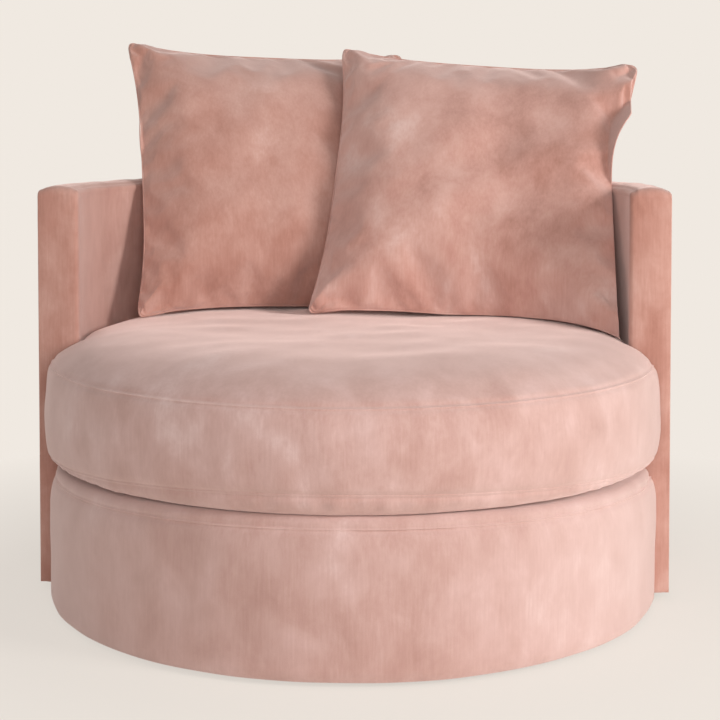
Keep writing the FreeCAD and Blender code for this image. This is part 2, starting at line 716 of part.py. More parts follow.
def scatter_pillows(cushion):
    play, cloth = val("pillow_play"), val("velvet")
    outer, inner = {}, {}
    for side, ((across, ahead, sunk), yaw, tilt, roll, left, right) in PILLOWS.items():
        rise = val("pillow_side") / 2 * math.cos(math.radians(tilt)) - sunk
        centre = (across, val("tub_radius") - ahead, val("cushion_crest") + rise)
        for store, inset in ((outer, 0), (inner, cloth)):
            body = leaning(pillow_fill(inset, left, right), centre, yaw, tilt, roll)
            store[side] = clear_of_chair(body, cushion, play + inset)
    for side in PILLOWS:
        case = outer[side]
        fill = largest(inner[side].common(case))
        feature(side + "_pillow_pad", fill)
        feature(side + "_pillow_cover", largest(case.cut(fill)))


floor_base()
ball_ring()
swivel_top()
shell_bolts = radial_bolts()
group("shell_bolts", shell_bolts)
drum_frame(shell_bolts)
webbing()
drum_upholstery()
tub_frame(shell_bolts)
tub_upholstery()
scatter_pillows(seat_cushion())

NODES = [
    "glide_pads", "plinth", "plinth_screws", "swivel_lower_plate", "bearing_balls", "ball_cage",
    "swivel_upper_plate", "swivel_screws", "base_bottom_panel", "base_top_ring", "base_rear_posts",
    "base_front_posts", "base_rear_panel", "base_front_panel", "underside_cloth", "shell_bolts",
    "webbing_lengthwise", "webbing_crosswise", "deck_pad", "deck_cloth", "deck_border_cover",
    "base_front_foam", "base_front_cover", "shell_bottom_ring", "shell_seat_ring", "shell_top_ring",
    "shell_lower_struts", "shell_upper_struts", "shell_inner_board", "shell_outer_board",
    "arm_front_board_left", "arm_front_board_right", "shell_inner_foam", "shell_outer_wadding",
    "shell_top_pad", "arm_front_pads", "shell_inner_cover", "shell_outer_cover",
    "shell_border_strip", "seat_cushion_cover", "seat_cushion_wrap", "seat_cushion_core",
    "seat_cushion_zip", "left_pillow_cover", "left_pillow_pad", "right_pillow_cover",
    "right_pillow_pad",
]


def hand_in():
    """Checks every object, then writes one file for each node."""
    doc.recompute()
    for obj in doc.Objects:
        if "Invalid" in obj.State or "Error" in obj.State:
            raise RuntimeError(f"{obj.Name} failed: {obj.State}")
    found = [doc.getObject(name) for name in NODES]
    for obj in found:
        if obj.Shape.isNull() or not obj.Shape.isValid():
            raise RuntimeError(f"{obj.Name} has no valid shape")
    os.makedirs("parts", exist_ok=True)
    for obj in found:
        obj.Label = obj.Name
        obj.Shape.exportStep(f"parts/{obj.Label}.step")
        print(f"{obj.Label}: {len(obj.Shape.Solids)} solids, {obj.Shape.Volume / 1000:.1f} cm3")


hand_in()
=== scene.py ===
# %% [markdown]
# # A round cuddle chair in velvet
# The chair is a full round drum, a thick round seat cushion, a low curved tub of back and arms
# that is level all the way round, and two large scatter pillows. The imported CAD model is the
# fixed frame of this scene: its timber, steel and boards stay as they are and get a finish, and
# every soft part is made again here, with its seams, crowns and creases.

# %% Load the frame
import math

import bmesh
import bpy
import numpy as np
from mathutils import Matrix, Vector
from mathutils.bvhtree import BVHTree


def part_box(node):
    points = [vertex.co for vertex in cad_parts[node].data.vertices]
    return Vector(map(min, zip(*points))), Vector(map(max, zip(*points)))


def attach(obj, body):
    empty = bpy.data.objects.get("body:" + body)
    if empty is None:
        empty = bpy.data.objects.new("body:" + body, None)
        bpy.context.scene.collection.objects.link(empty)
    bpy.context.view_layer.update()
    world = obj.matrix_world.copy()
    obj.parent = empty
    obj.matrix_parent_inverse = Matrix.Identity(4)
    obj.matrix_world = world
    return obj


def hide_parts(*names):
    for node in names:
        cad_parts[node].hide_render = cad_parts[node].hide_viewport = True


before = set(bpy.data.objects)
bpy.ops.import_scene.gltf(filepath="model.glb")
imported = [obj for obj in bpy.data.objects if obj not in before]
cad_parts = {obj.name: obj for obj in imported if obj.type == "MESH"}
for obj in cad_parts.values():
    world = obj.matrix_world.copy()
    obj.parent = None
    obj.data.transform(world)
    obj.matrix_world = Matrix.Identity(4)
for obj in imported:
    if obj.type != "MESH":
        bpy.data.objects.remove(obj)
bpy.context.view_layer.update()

# %% [markdown]
# The driving sizes are read from the CAD nodes, so the soft parts fit the frame when it changes.
# The front of the drum, deck and cushion is wider than the inside of the tub: all three step in
# behind the flat arm fronts. The round parts share the swivel axis, which is the Z axis.

# %% Sizes read from the frame
VELVET = 0.002
tub_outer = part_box("shell_outer_cover")[1].x
tub_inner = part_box("shell_inner_cover")[1].x - VELVET
arm_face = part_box("shell_border_strip")[0].y
rim_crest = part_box("shell_border_strip")[1].z
rim_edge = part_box("shell_inner_cover")[1].z + 0.010
tub_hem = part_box("shell_outer_cover")[0].z + 0.004
drum_radius = -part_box("base_front_cover")[0].y
drum_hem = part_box("base_front_cover")[0].z
drum_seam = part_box("base_front_cover")[1].z
drum_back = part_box("base_front_cover")[1].y
deck_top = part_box("deck_border_cover")[1].z
frame_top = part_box("base_top_ring")[1].z
panel_radius = -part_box("base_front_panel")[0].y
ring_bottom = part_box("shell_inner_foam")[0].z
ring_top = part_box("shell_top_pad")[0].z
foam_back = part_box("shell_inner_board")[1].x - 0.003
wadding_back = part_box("shell_outer_board")[1].x
cushion_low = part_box("seat_cushion_cover")[0].z
cushion_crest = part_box("seat_cushion_cover")[1].z
cushion_radius = -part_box("seat_cushion_cover")[0].y
drum_seam_radius = drum_radius - 0.009
deck_edge_radius = drum_radius - 0.029
cushion_seam_radius = cushion_radius - 0.011
cushion_foot_radius = cushion_radius - 0.038
print(f"tub radius {tub_inner:.3f} to {tub_outer:.3f}, rim at {rim_crest:.3f}")
print(f"drum radius {drum_radius:.3f}, cushion radius {cushion_radius:.3f}")

# %% [markdown]
# The camera stands in front of the chair, a little to its right, and looks slightly down. The
# photographed frame is cropped from a larger one, so the lens is shifted down rather than tipped,
# which keeps the upright edges nearly parallel.

# %% Camera
camera = bpy.data.objects.new("camera", bpy.data.cameras.new("camera"))
bpy.context.scene.collection.objects.link(camera)
camera.location = (0.207, -3.108, 0.902)
camera.rotation_euler = (math.radians(87.5), 0.0, math.radians(3.57))
camera.data.sensor_width = 36.0
camera.data.lens = 81.4
camera.data.shift_y = -0.236
bpy.context.scene.camera = camera
print("camera lens", camera.data.lens, "mm, shift", camera.data.shift_y)

# %% [markdown]
# Nearly every soft part is a sheet of points: one direction goes round the chair and the other
# goes over a section of the part. Numpy works out all the points at once, and these helpers turn
# such a sheet into a closed mesh. A row that lies in one point, such as the middle of a cushion,
# becomes a pole, and its cells become triangles.

# %% Grids of points into meshes
def grid_index(rows, cols, round_cols=False, round_rows=False, poles=(False, False)):
    """Numbers the points of a grid. A round direction comes back to its first point."""
    index = np.arange(rows * cols).reshape(rows, cols)
    if poles[0]:
        index[0] = index[0, 0]
    if poles[1]:
        index[-1] = index[-1, 0]
    if round_cols:
        index = np.hstack([index, index[:, :1]])
    if round_rows:
        index = np.vstack([index, index[:1]])
    return index


def cells(index):
    """One face for each cell of a grid: four corners, or three where two of them are one pole."""
    a, b = index[:-1, :-1].ravel(), index[:-1, 1:].ravel()
    c, d = index[1:, 1:].ravel(), index[1:, :-1].ravel()
    quads = np.stack([a, b, c, d], axis=1)
    first, last = a == b, c == d
    whole = quads[~(first | last)].tolist()
    return whole + quads[first][:, [0, 2, 3]].tolist() + quads[last][:, [0, 1, 2]].tolist()


def tube(rows, cols):
    """Faces of a closed section carried along a way, with a flat face at each end."""
    ends = [list(range(cols)), list(range((rows - 1) * cols, rows * cols))]
    return cells(grid_index(rows, cols, round_cols=True)) + ends


def polar(angle, radius, height):
    """Points at a direction from the swivel axis, a distance from it and a height."""
    return np.stack(np.broadcast_arrays(np.cos(angle) * radius, np.sin(angle) * radius, height), -1)


# %% Piece maker
def make_piece(name, points, faces, body, materials, inside=None, crease=60.0):
    """A piece of the chair: its points, its faces turned outwards, its body and its finish.
    inside, where it is given, says which points lie on the hidden side; a face among them takes
    the second material. An edge sharper than crease degrees stays sharp."""
    mesh = bpy.data.meshes.new(name)
    points = np.asarray(points, float).reshape(-1, 3)
    mesh.from_pydata(points.tolist(), [], faces)
    for material in materials:
        mesh.materials.append(material)
    if inside is not None:
        hidden = np.asarray(inside, bool).ravel()
        side = np.array([hidden[face].all() for face in faces], np.int32)
        mesh.polygons.foreach_set("material_index", side)
    shell = bmesh.new()
    shell.from_mesh(mesh)
    bmesh.ops.delete(shell, geom=[v for v in shell.verts if not v.link_faces], context="VERTS")
    bmesh.ops.recalc_face_normals(shell, faces=shell.faces)
    shell.to_mesh(mesh)
    shell.free()
    mesh.polygons.foreach_set("use_smooth", np.ones(len(mesh.polygons), bool))
    mesh.set_sharp_from_angle(angle=math.radians(crease))
    piece = bpy.data.objects.new(name, mesh)
    bpy.context.scene.collection.objects.link(piece)
    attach(piece, body)
    print(f"{name}: {len(mesh.vertices)} points, {len(mesh.polygons)} faces")
    return piece


# %% [markdown]
# Cloth over padding is never quite even. This adds up sine waves in many directions, which gives
# smooth hills of about one size, the same ones each time the script runs.

# %% Soft unevenness
def hills(points, size, seed):
    """Smooth hills about size metres across, from about -1 to 1 at each point: the sum of sine
    waves whose directions lie all round and whose starts differ."""
    count = 28
    draw = np.random.default_rng(seed)
    ways = draw.normal(size=(count, 3))
    ways /= np.linalg.norm(ways, axis=1, keepdims=True)
    pitch = size * draw.uniform(1.6, 2.8, count)
    start = draw.uniform(0, 2 * np.pi, count)
    waves = np.sin(np.asarray(points) @ (ways / pitch[:, None]).T * 2 * np.pi + start)
    return waves.sum(axis=-1) / math.sqrt(count)


def smooth(low, high, value):
    """0 below low, 1 above high, with an even slope in between that starts and ends level."""
    share = np.clip((np.asarray(value, float) - low) / (high - low), 0, 1)
    return share * share * (3 - 2 * share)


# %% [markdown]
# The velvet is the finish that carries the picture. Its nap is short and leans one way or the
# other where a hand has brushed it, which leaves pale and dark clouds a few centimetres across,
# with fine upright streaks in them. All of that is a node group that puts out a shade and a
# height, read from the object's own coordinates. Cloth seen at a slant is paler. That comes from
# the shader's sheen and from painted sheen, a mix of the colour towards pale by viewing angle,
# and both stay in the material.

# %% Node helpers
def node_group(name, inputs, outputs):
    """A shader node group with plain number inputs (name: value) and outputs (name: kind)."""
    group = bpy.data.node_groups.new(name, "ShaderNodeTree")
    for label, value in inputs.items():
        socket = group.interface.new_socket(label, in_out="INPUT", socket_type="NodeSocketFloat")
        socket.default_value = value
    for label, kind in outputs.items():
        group.interface.new_socket(label, in_out="OUTPUT", socket_type=kind)
    return group, group.nodes.new("NodeGroupInput"), group.nodes.new("NodeGroupOutput")


def add_node(tree, kind, settings=None, **inputs):
    """A node with its settings, and each input either linked (a socket) or set (a value)."""
    node = tree.nodes.new(kind)
    for name, value in (settings or {}).items():
        setattr(node, name, value)
    for name, value in inputs.items():
        numbered = name[0] == "i" and name[1:].isdigit()
        socket = node.inputs[int(name[1:]) if numbered else name]
        if isinstance(value, bpy.types.NodeSocket):
            tree.links.new(value, socket)
        else:
            socket.default_value = value
    return node


def calculate(tree, operation, first, second=0.0, clamp=False):
    """A Math node; its answer."""
    return add_node(tree, "ShaderNodeMath", {"operation": operation, "use_clamp": clamp},
                    i0=first, i1=second).outputs[0]


def object_points(tree, scale=(1.0, 1.0, 1.0)):
    """The object's own coordinates, stretched by a Mapping node."""
    where = tree.nodes.new("ShaderNodeTexCoord").outputs["Object"]
    return add_node(tree, "ShaderNodeMapping", Vector=where, Scale=scale).outputs["Vector"]


# %% Velvet nap group
def velvet_nap():
    """Shade: clouds of brushed nap, from large to small, and fine upright streaks, about 0.5 on
    average. Height: the nap's grain with the streaks in it."""
    tree, given, put = node_group(
        "velvet_nap", {"Clouds": 1.0, "Offset": 0.0},
        {"Shade": "NodeSocketFloat", "Height": "NodeSocketFloat"})
    where = object_points(tree)
    shift = add_node(tree, "ShaderNodeCombineXYZ", X=given.outputs["Offset"], Y=given.outputs["Offset"])
    where = add_node(tree, "ShaderNodeVectorMath", {"operation": "ADD"},
                     i0=where, i1=shift.outputs[0]).outputs[0]
    slanted = add_node(tree, "ShaderNodeMapping", Vector=where, Rotation=(0.35, 0.45, 0.2),
                       Scale=(1.0, 1.0, 0.72)).outputs["Vector"]
    large = add_node(tree, "ShaderNodeTexNoise", Vector=slanted, Scale=3.6, Detail=2.5,
                     Roughness=0.5, Distortion=0.35).outputs["Fac"]
    small = add_node(tree, "ShaderNodeTexNoise", Vector=slanted, Scale=15.0, Detail=4.0,
                     Roughness=0.6, Distortion=0.25).outputs["Fac"]
    upright = add_node(tree, "ShaderNodeMapping", Vector=where, Scale=(1.0, 1.0, 0.07)).outputs["Vector"]
    streak = add_node(tree, "ShaderNodeTexNoise", Vector=upright, Scale=230.0, Detail=3.0,
                      Roughness=0.6).outputs["Fac"]
    grain = add_node(tree, "ShaderNodeTexNoise", Vector=where, Scale=1500.0, Detail=2.0,
                     Roughness=0.6).outputs["Fac"]
    big = calculate(tree, "MULTIPLY", calculate(tree, "SUBTRACT", large, 0.5), 0.75)
    fine = calculate(tree, "MULTIPLY", calculate(tree, "SUBTRACT", small, 0.5), 0.95)
    clouds = calculate(tree, "MULTIPLY", calculate(tree, "ADD", big, fine), given.outputs["Clouds"])
    lines = calculate(tree, "MULTIPLY", calculate(tree, "SUBTRACT", streak, 0.5), 0.32)
    speck = calculate(tree, "MULTIPLY", calculate(tree, "SUBTRACT", grain, 0.5), 0.34)
    total = calculate(tree, "ADD", calculate(tree, "ADD", clouds, lines), speck)
    shade = calculate(tree, "ADD", total, 0.5, clamp=True)
    height = calculate(tree, "ADD", calculate(tree, "MULTIPLY", streak, 0.5), grain)
    tree.links.new(shade, put.inputs["Shade"])
    tree.links.new(height, put.inputs["Height"])
    return tree


VELVET_NAP = velvet_nap()


# %% Materials from a shader and its finish
def new_material(name, **settings):
    """A material with its own Principled shader; settings go straight onto the shader."""
    material = bpy.data.materials.new(name)
    material.use_nodes = True
    tree = material.node_tree
    shader = tree.nodes["Principled BSDF"]
    for label, value in settings.items():
        shader.inputs[label.replace("_", " ")].default_value = value
    return material, tree, shader


def ramp(tree, factor, stops):
    """A colour ramp; stops are (place, colour)."""
    node = add_node(tree, "ShaderNodeValToRGB", i0=factor)
    while len(node.color_ramp.elements) < len(stops):
        node.color_ramp.elements.new(0.5)
    for element, (place, colour) in zip(node.color_ramp.elements, stops):
        element.position = place
        element.color = (*colour, 1.0)
    return node.outputs["Color"]


def linear(red, green, blue):
    """A screen colour of 0 to 255 as the light that a shader works with."""
    share = np.array([red, green, blue]) / 255
    return tuple(np.where(share <= 0.04045, share / 12.92, ((share + 0.055) / 1.055) ** 2.4))


def bump(tree, shader, height, strength, distance):
    """Raises the surface by a height socket."""
    node = add_node(tree, "ShaderNodeBump", Strength=strength, Distance=distance, Height=height)
    tree.links.new(node.outputs["Normal"], shader.inputs["Normal"])


# %% Velvet
# Ramps of velvet colour. The warm one is the cloth's own. The rose one is it made paler for the right
# pillow, painted light, and the pale one is it made paler and greyer for drum and seat, painted sheen.
WARM = [(0.0, linear(160, 106, 90)), (0.42, linear(188, 138, 124)),
        (0.66, linear(202, 156, 143)), (1.0, linear(224, 188, 179))]
PAINTED_LIGHT_ROSE = [(0.0, linear(170, 116, 100)), (0.42, linear(204, 153, 140)),
        (0.66, linear(216, 171, 159)), (1.0, linear(235, 204, 196))]
PAINTED_SHEEN_PALE = [(0.0, linear(174, 130, 119)), (0.42, linear(196, 157, 148)),
        (0.66, linear(208, 172, 165)), (1.0, linear(230, 203, 198))]


def velvet(name, offset, tone, clouds=1.0, painted_sheen_amount=0.6):
    """Dusty pink velvet: brown-pink where the nap leans towards the eye, pale where it is
    brushed back, and paler again where the cloth is seen at a slant: painted sheen, a mix of
    the colour towards a pale pink by viewing angle, by the amount given last. The tone says
    which of the first two there is more of."""
    material, tree, shader = new_material(
        name, Roughness=0.75, Sheen_Weight=0.9, Sheen_Roughness=0.4, Specular_IOR_Level=0.1)
    shader.inputs["Sheen Tint"].default_value = (*linear(255, 226, 219), 1.0)
    nap = add_node(tree, "ShaderNodeGroup", {"node_tree": VELVET_NAP},
                   Clouds=clouds, Offset=offset)
    # painted sheen: the colour is mixed towards a pale pink where the cloth is seen at a slant
    slant = add_node(tree, "ShaderNodeLayerWeight", Blend=0.42).outputs["Facing"]
    painted_sheen_mix = calculate(tree, "MULTIPLY", slant, painted_sheen_amount, clamp=True)
    colour = add_node(tree, "ShaderNodeMix", {"data_type": "RGBA"}, i0=painted_sheen_mix,
                      i6=ramp(tree, nap.outputs["Shade"], tone), i7=(*linear(238, 214, 208), 1.0))
    tree.links.new(colour.outputs[2], shader.inputs["Base Color"])
    bump(tree, shader, nap.outputs["Height"], 0.5, 0.0007)
    return material


# Drum and seat take the pale tone and the right pillow the rose tone: painted sheen and painted light.
# The amount of painted sheen also differs from part to part.
VELVET_TUB = velvet("velvet_tub", 0.0, WARM, painted_sheen_amount=0.3)
VELVET_DRUM = velvet("velvet_drum", 3.1, PAINTED_SHEEN_PALE, painted_sheen_amount=0.75)
VELVET_SEAT = velvet("velvet_seat", 7.7, PAINTED_SHEEN_PALE, clouds=1.3)
VELVET_LEFT = velvet("velvet_left_pillow", 11.3, WARM)
VELVET_RIGHT = velvet("velvet_right_pillow", 17.9, PAINTED_LIGHT_ROSE, clouds=1.2)

# %% [markdown]
# Behind the velvet lies foam, and below it the frame. The CAD pieces that stay in the picture get
# their finishes from here: plywood and softwood share one grain group, cloth and straps one weave
# group, and metal, nylon and rubber have a fine bump of their own.

# %% Grain and weave groups
def wood_grain():
    """Shade and height of sawn wood: rings stretched along X, and pores."""
    tree, given, put = node_group("wood_grain", {"Rings": 30.0},
                                  {"Shade": "NodeSocketFloat", "Height": "NodeSocketFloat"})
    where = object_points(tree, (0.12, 1.0, 1.0))
    rings = add_node(tree, "ShaderNodeTexNoise", Vector=where, Scale=given.outputs["Rings"], Detail=6.0,
                     Roughness=0.65, Distortion=0.6).outputs["Fac"]
    pores = add_node(tree, "ShaderNodeTexNoise", Vector=where, Scale=420.0, Detail=2.0).outputs["Fac"]
    shade = calculate(tree, "ADD", rings, calculate(tree, "MULTIPLY", pores, 0.25))
    tree.links.new(shade, put.inputs["Shade"])
    tree.links.new(pores, put.inputs["Height"])
    return tree


def cloth_weave():
    """Height of a plain weave: threads along X and along Y, each a row of small waves."""
    tree, given, put = node_group("cloth_weave", {"Threads": 900.0}, {"Height": "NodeSocketFloat"})
    where = add_node(tree, "ShaderNodeSeparateXYZ", Vector=object_points(tree))
    threads = given.outputs["Threads"]
    waves = [calculate(tree, "SINE", calculate(tree, "MULTIPLY", where.outputs[axis], threads))
             for axis in "XY"]
    tree.links.new(calculate(tree, "MULTIPLY", *waves), put.inputs["Height"])
    return tree


WOOD_GRAIN, CLOTH_WEAVE = wood_grain(), cloth_weave()


# %% Finishes of the frame and the filling
def wood(name, dark, light, rings):
    """Sawn wood or board, with its rings from dark to light."""
    material, tree, shader = new_material(name, Roughness=0.62)
    grain = add_node(tree, "ShaderNodeGroup", {"node_tree": WOOD_GRAIN}, Rings=rings)
    colour = ramp(tree, grain.outputs["Shade"], [(0.45, dark), (0.8, light)])
    tree.links.new(colour, shader.inputs["Base Color"])
    bump(tree, shader, grain.outputs["Height"], 0.3, 0.0004)
    return material


def woven(name, dark, light, threads):
    """Plain woven cloth, darker in the low places between its threads: painted shade."""
    material, tree, shader = new_material(name, Roughness=0.9, Specular_IOR_Level=0.2)
    weave = add_node(tree, "ShaderNodeGroup", {"node_tree": CLOTH_WEAVE}, Threads=threads)
    # painted shade: the colour follows the weave's height, darker where it is low
    share = add_node(tree, "ShaderNodeMapRange", Value=weave.outputs["Height"], i1=-1.0,
                     i2=1.0).outputs[0]
    tree.links.new(ramp(tree, share, [(0.0, dark), (1.0, light)]), shader.inputs["Base Color"])
    bump(tree, shader, weave.outputs["Height"], 0.4, 0.0004)
    return material


def speckled(name, dark, light, scale, roughness, metallic=0.0):
    """A finish with one fine noise in its colour and its bump: foam, metal, nylon or rubber."""
    material, tree, shader = new_material(name, Roughness=roughness, Metallic=metallic)
    noise = add_node(tree, "ShaderNodeTexNoise", Vector=object_points(tree), Scale=scale, Detail=4.0,
                     Roughness=0.6).outputs["Fac"]
    tree.links.new(ramp(tree, noise, [(0.3, dark), (0.7, light)]), shader.inputs["Base Color"])
    bump(tree, shader, noise, 0.25, 0.0004)
    return material


FOAM = speckled("foam", linear(222, 212, 182), linear(238, 230, 205), 300.0, 0.95)
BLACK_CLOTH = woven("black_cloth", linear(20, 20, 21), linear(36, 36, 38), 1600.0)
WEBBING = woven("webbing", linear(52, 46, 42), linear(96, 88, 80), 1400.0)
ZIP_TAPE = woven("zip_tape", linear(150, 104, 92), linear(182, 132, 118), 2600.0)
FRAME_FINISHES = {
    "plywood": wood("plywood", linear(188, 152, 108), linear(220, 190, 146), 22.0),
    "timber": wood("timber", linear(196, 158, 108), linear(226, 194, 146), 34.0),
    "hardboard": wood("hardboard", linear(118, 82, 54), linear(146, 106, 74), 90.0),
    "race_steel": speckled(
        "race_steel", linear(168, 170, 172), linear(196, 198, 200), 60.0, 0.32, 1.0),
    "fastener_steel": speckled(
        "fastener_steel", linear(158, 160, 160), linear(190, 190, 186), 140.0, 0.38, 1.0),
    "cage_plastic": speckled("cage_plastic", linear(214, 213, 204), linear(226, 225, 218), 200.0, 0.5),
    "glide_rubber": speckled("glide_rubber", linear(40, 40, 41), linear(56, 56, 57), 260.0, 0.85),
}
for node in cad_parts.values():
    for holder in node.material_slots:
        kind = holder.material.name.split(".")[0] if holder.material else ""
        if kind in FRAME_FINISHES:
            holder.material = FRAME_FINISHES[kind]
print("frame finishes:", ", ".join(FRAME_FINISHES))

# %% [markdown]
# The seams are pulled in by their thread, so the cloth makes a shallow groove with a fine raised
# line in it, where the two edges meet. This is the same for each seam on the chair.

# %% Seam section
def seam_relief(distance, groove=0.0032, width=0.0065, line=0.0028, thread=0.0015):
    """How far cloth stands out near a seam, by the distance from it: a groove that fades out
    evenly on both sides, less a narrow raised line in the middle."""
    return (line * np.exp(-(distance / thread) ** 2) - groove * np.exp(-(distance / width) ** 2))


def spread(low, high, count, *seams, reach=0.009):
    """Count even places from low to high, with 21 more close to each seam."""
    near = [seam + np.linspace(-reach, reach, 21) for seam in seams]
    return np.unique(np.clip(np.concatenate([np.linspace(low, high, count), *near]), low, high))


# %% [markdown]
# ## The step behind the arms
# Seen from above, deck and cushion are a circle that becomes narrower behind the arm fronts. The
# limit below gives, for each direction, how far out the part may reach. A soft minimum of that
# limit and the part's own radius rounds the corners, and never folds the sheet.

# %% Directions and the plan
def directions(step):
    """Directions right round, closer together beside the two steps behind the arms."""
    side = math.asin(-step / tub_inner)
    near = 0.03 * np.linspace(-0.3, 1, 31) ** 3
    every = np.concatenate([np.linspace(0, 2 * np.pi, 361)[:-1], (2 * np.pi - side) - near,
                            (np.pi + side) + near])
    return np.unique(np.round(every, 5))


def plan_limit(angle, inner, step):
    """Farthest reach in a direction: the tub's inside as long as the part's edge would be behind
    the step, and from there a limit that runs out quickly, so that the ear has a round corner."""
    ahead = -np.sin(angle) * inner + step
    return inner + 0.12 * np.clip(ahead / 0.009, 0, 40) ** 0.5


def fit_plan(radius, limit, sharp=60.0):
    """Soft minimum of a part's own radius and the limit of its plan."""
    return (np.maximum(radius, 1e-6) ** -sharp + limit ** -sharp) ** (-1 / sharp)


# %% [markdown]
# ## Drum
# The wall of the drum is velvet over thin foam on a bent plywood panel. It is upright for most of
# its height and draws in softly to the seam near its top. The sheet goes over its section: up the
# outside, in at the seam, and down again against the panel.

# %% Drum wall
SEAM_DROP = 0.016


def front_arc(radius, step, count):
    """Directions of the drum's front, from the left arm front to the right one, for a radius."""
    side = np.arcsin(-step / np.asarray(radius))
    share = np.linspace(0, 1, count)
    return (np.pi + side)[..., None] + share * (np.pi - 2 * side)[..., None]


def seam_dip(angle):
    """The drum's and cushion's lower seams sit lower at the sides than in front."""
    return 0.5 - 0.5 * np.cos(2 * (angle + np.pi / 2))


def drum_wall():
    """The wall's sheet: up the outside from the hem to the seam, then down against the panel."""
    rise = np.concatenate([np.linspace(0.0, 0.62, 16), np.linspace(0.65, 0.93, 16),
                           np.linspace(0.94, 1.0, 12)])
    height = drum_hem + (drum_seam - drum_hem) * rise
    turn = np.clip((height - (drum_seam - 0.047)) / 0.047, 0, 1)
    radius = drum_radius - (drum_radius - drum_seam_radius) * turn ** 1.9
    hem_roll = 0.004 * (1 - np.clip((height - drum_hem) / 0.006, 0, 1)) ** 2
    outside = radius - hem_roll
    loop_r = np.concatenate([outside, [panel_radius, panel_radius]])
    loop_z = np.concatenate([height, [drum_seam, drum_hem + 0.002]])
    angle = front_arc(loop_r, drum_back, 300).T
    level = loop_z[None, :] - SEAM_DROP * seam_dip(angle) * smooth(0.12, drum_seam, loop_z)[None, :]
    shown = np.arange(len(loop_r)) < len(outside)
    along = drum_seam - loop_z
    relief = np.where(shown, seam_relief(along), 0)[None, :]
    flat = polar(angle, loop_r, level)
    bumps = 0.0008 * hills(flat, 0.05, 4) + 0.0012 * hills(flat, 0.14, 5)
    out = loop_r + np.where(shown, relief + bumps, 0)
    points = polar(angle, out, level)
    piece = make_piece("drum_wall", points, tube(*angle.shape), "chair", [VELVET_DRUM, FOAM],
                       inside=np.broadcast_to(~shown, angle.shape))
    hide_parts("base_front_cover", "base_front_foam")


drum_wall()

# %% [markdown]
# Above the seam a rounded band of velvet turns in under the cushion and goes on as the cloth of
# the deck, with a pad and elastic webbing below it. Band, cloth and pad are one closed form.

# %% Deck with its rounded band
def deck():
    """Band, deck cloth and pad as one sheet from the middle below, out over the band, and back
    to the middle on top."""
    turn = np.linspace(0, np.pi / 2, 22)
    band_r = deck_edge_radius + (drum_seam_radius - deck_edge_radius) * np.cos(turn) ** 0.9
    band_z = drum_seam + (deck_top - drum_seam) * np.sin(turn) ** 1.1
    top_r = deck_edge_radius * np.linspace(1, 0, 16)[1:]
    low = frame_top + 0.004
    under_r = [0.0, 0.2, panel_radius - 0.004, panel_radius, panel_radius + 0.004]
    under_z = [low, low, low, low, drum_seam - 0.001]
    radius = np.concatenate([under_r, band_r, top_r])
    height = np.concatenate([under_z, band_z, np.full(len(top_r), deck_top)])
    angle = directions(drum_back)
    limit = plan_limit(angle, tub_inner - 0.0004, drum_back)
    out = fit_plan(radius[:, None], limit[None, :])
    out[0] = out[-1] = 0
    dip = SEAM_DROP * seam_dip(angle)[None, :] * smooth(tub_inner * 0.9, deck_edge_radius, out)
    dip = dip * smooth(0.0, 0.02, -np.sin(angle) - 0.1)[None, :]
    lift = height[:, None] - np.where(height[:, None] > low + 0.005, dip, 0)
    points = polar(angle, out, lift)
    shown = (height > drum_seam - 0.0005)[:, None]
    swell = 0.0009 * hills(points, 0.03, 8)
    distance = height - drum_seam
    push = np.where(shown & (radius > 0.5)[:, None], seam_relief(distance)[:, None] + swell, 0)
    points[..., 0] += np.cos(angle) * push
    points[..., 1] += np.sin(angle) * push
    rows, cols = out.shape
    faces = cells(grid_index(rows, cols, round_cols=True, poles=(True, True)))
    piece = make_piece("deck", points, faces, "chair", [VELVET_DRUM, FOAM],
                       inside=np.broadcast_to((height < drum_seam - 0.0005)[:, None], out.shape))
    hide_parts("deck_border_cover", "deck_pad", "deck_cloth")


deck()

# %% [markdown]
# ## Tub
# The wall of the tub is bent round the back and ends in two flat fronts. Everything on it is
# placed by three numbers: the distance from the swivel axis, how far along the wall, and the
# height. At both ends the wall stops in one flat plane, whatever the distance from the axis.

# %% Places on the tub
def along_tub(radius, share, end):
    """Direction of a point at a share (0 to 1) of the way from the left arm's end to the right
    arm's, where both ends lie in the plane y = end."""
    side = np.arcsin(-end / radius)
    return np.pi + side - share * (np.pi + 2 * side)


def tub_pad(name, radius, height, shown, end, nodes, seed, inward):
    """A pad on one side of the tub's wall: a closed section (radius, height) carried along the
    wall, with flat ends, and soft hills on the shown points that only go into the wall."""
    share = np.linspace(0, 1, 321)
    angle = along_tub(radius[None, :], share[:, None], end)
    flat = polar(angle, radius, height)
    give = 0.0007 * (1 + hills(flat, 0.06, seed)) + 0.0006 * (1 + hills(flat, 0.2, seed + 1))
    give = np.where(shown, np.clip(give, 0, 0.004), 0) * smooth(0.0, 0.06, flat[..., 1] - end)
    points = polar(angle, radius + inward * give, height)
    piece = make_piece(name, points, tube(*angle.shape), "chair", [VELVET_TUB, FOAM],
                       inside=np.broadcast_to(~shown, angle.shape))
    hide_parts(*nodes)


def pad_section(face, back, low, high, tuck, count):
    """Closed section of a pad: up its shown face, tucked in at the seam, then down its back."""
    top = 0.012
    upper = high - top + top * np.linspace(0.1, 1, 8)
    height = np.concatenate([np.linspace(low, high - top, count), upper])
    near = np.clip((height - (high - 0.008)) / 0.008, 0, 1)
    radius = face + tuck * near ** 2
    return (np.concatenate([radius, [back, back]]), np.concatenate([height, [high, low]]),
            np.arange(len(height) + 2) < len(height))


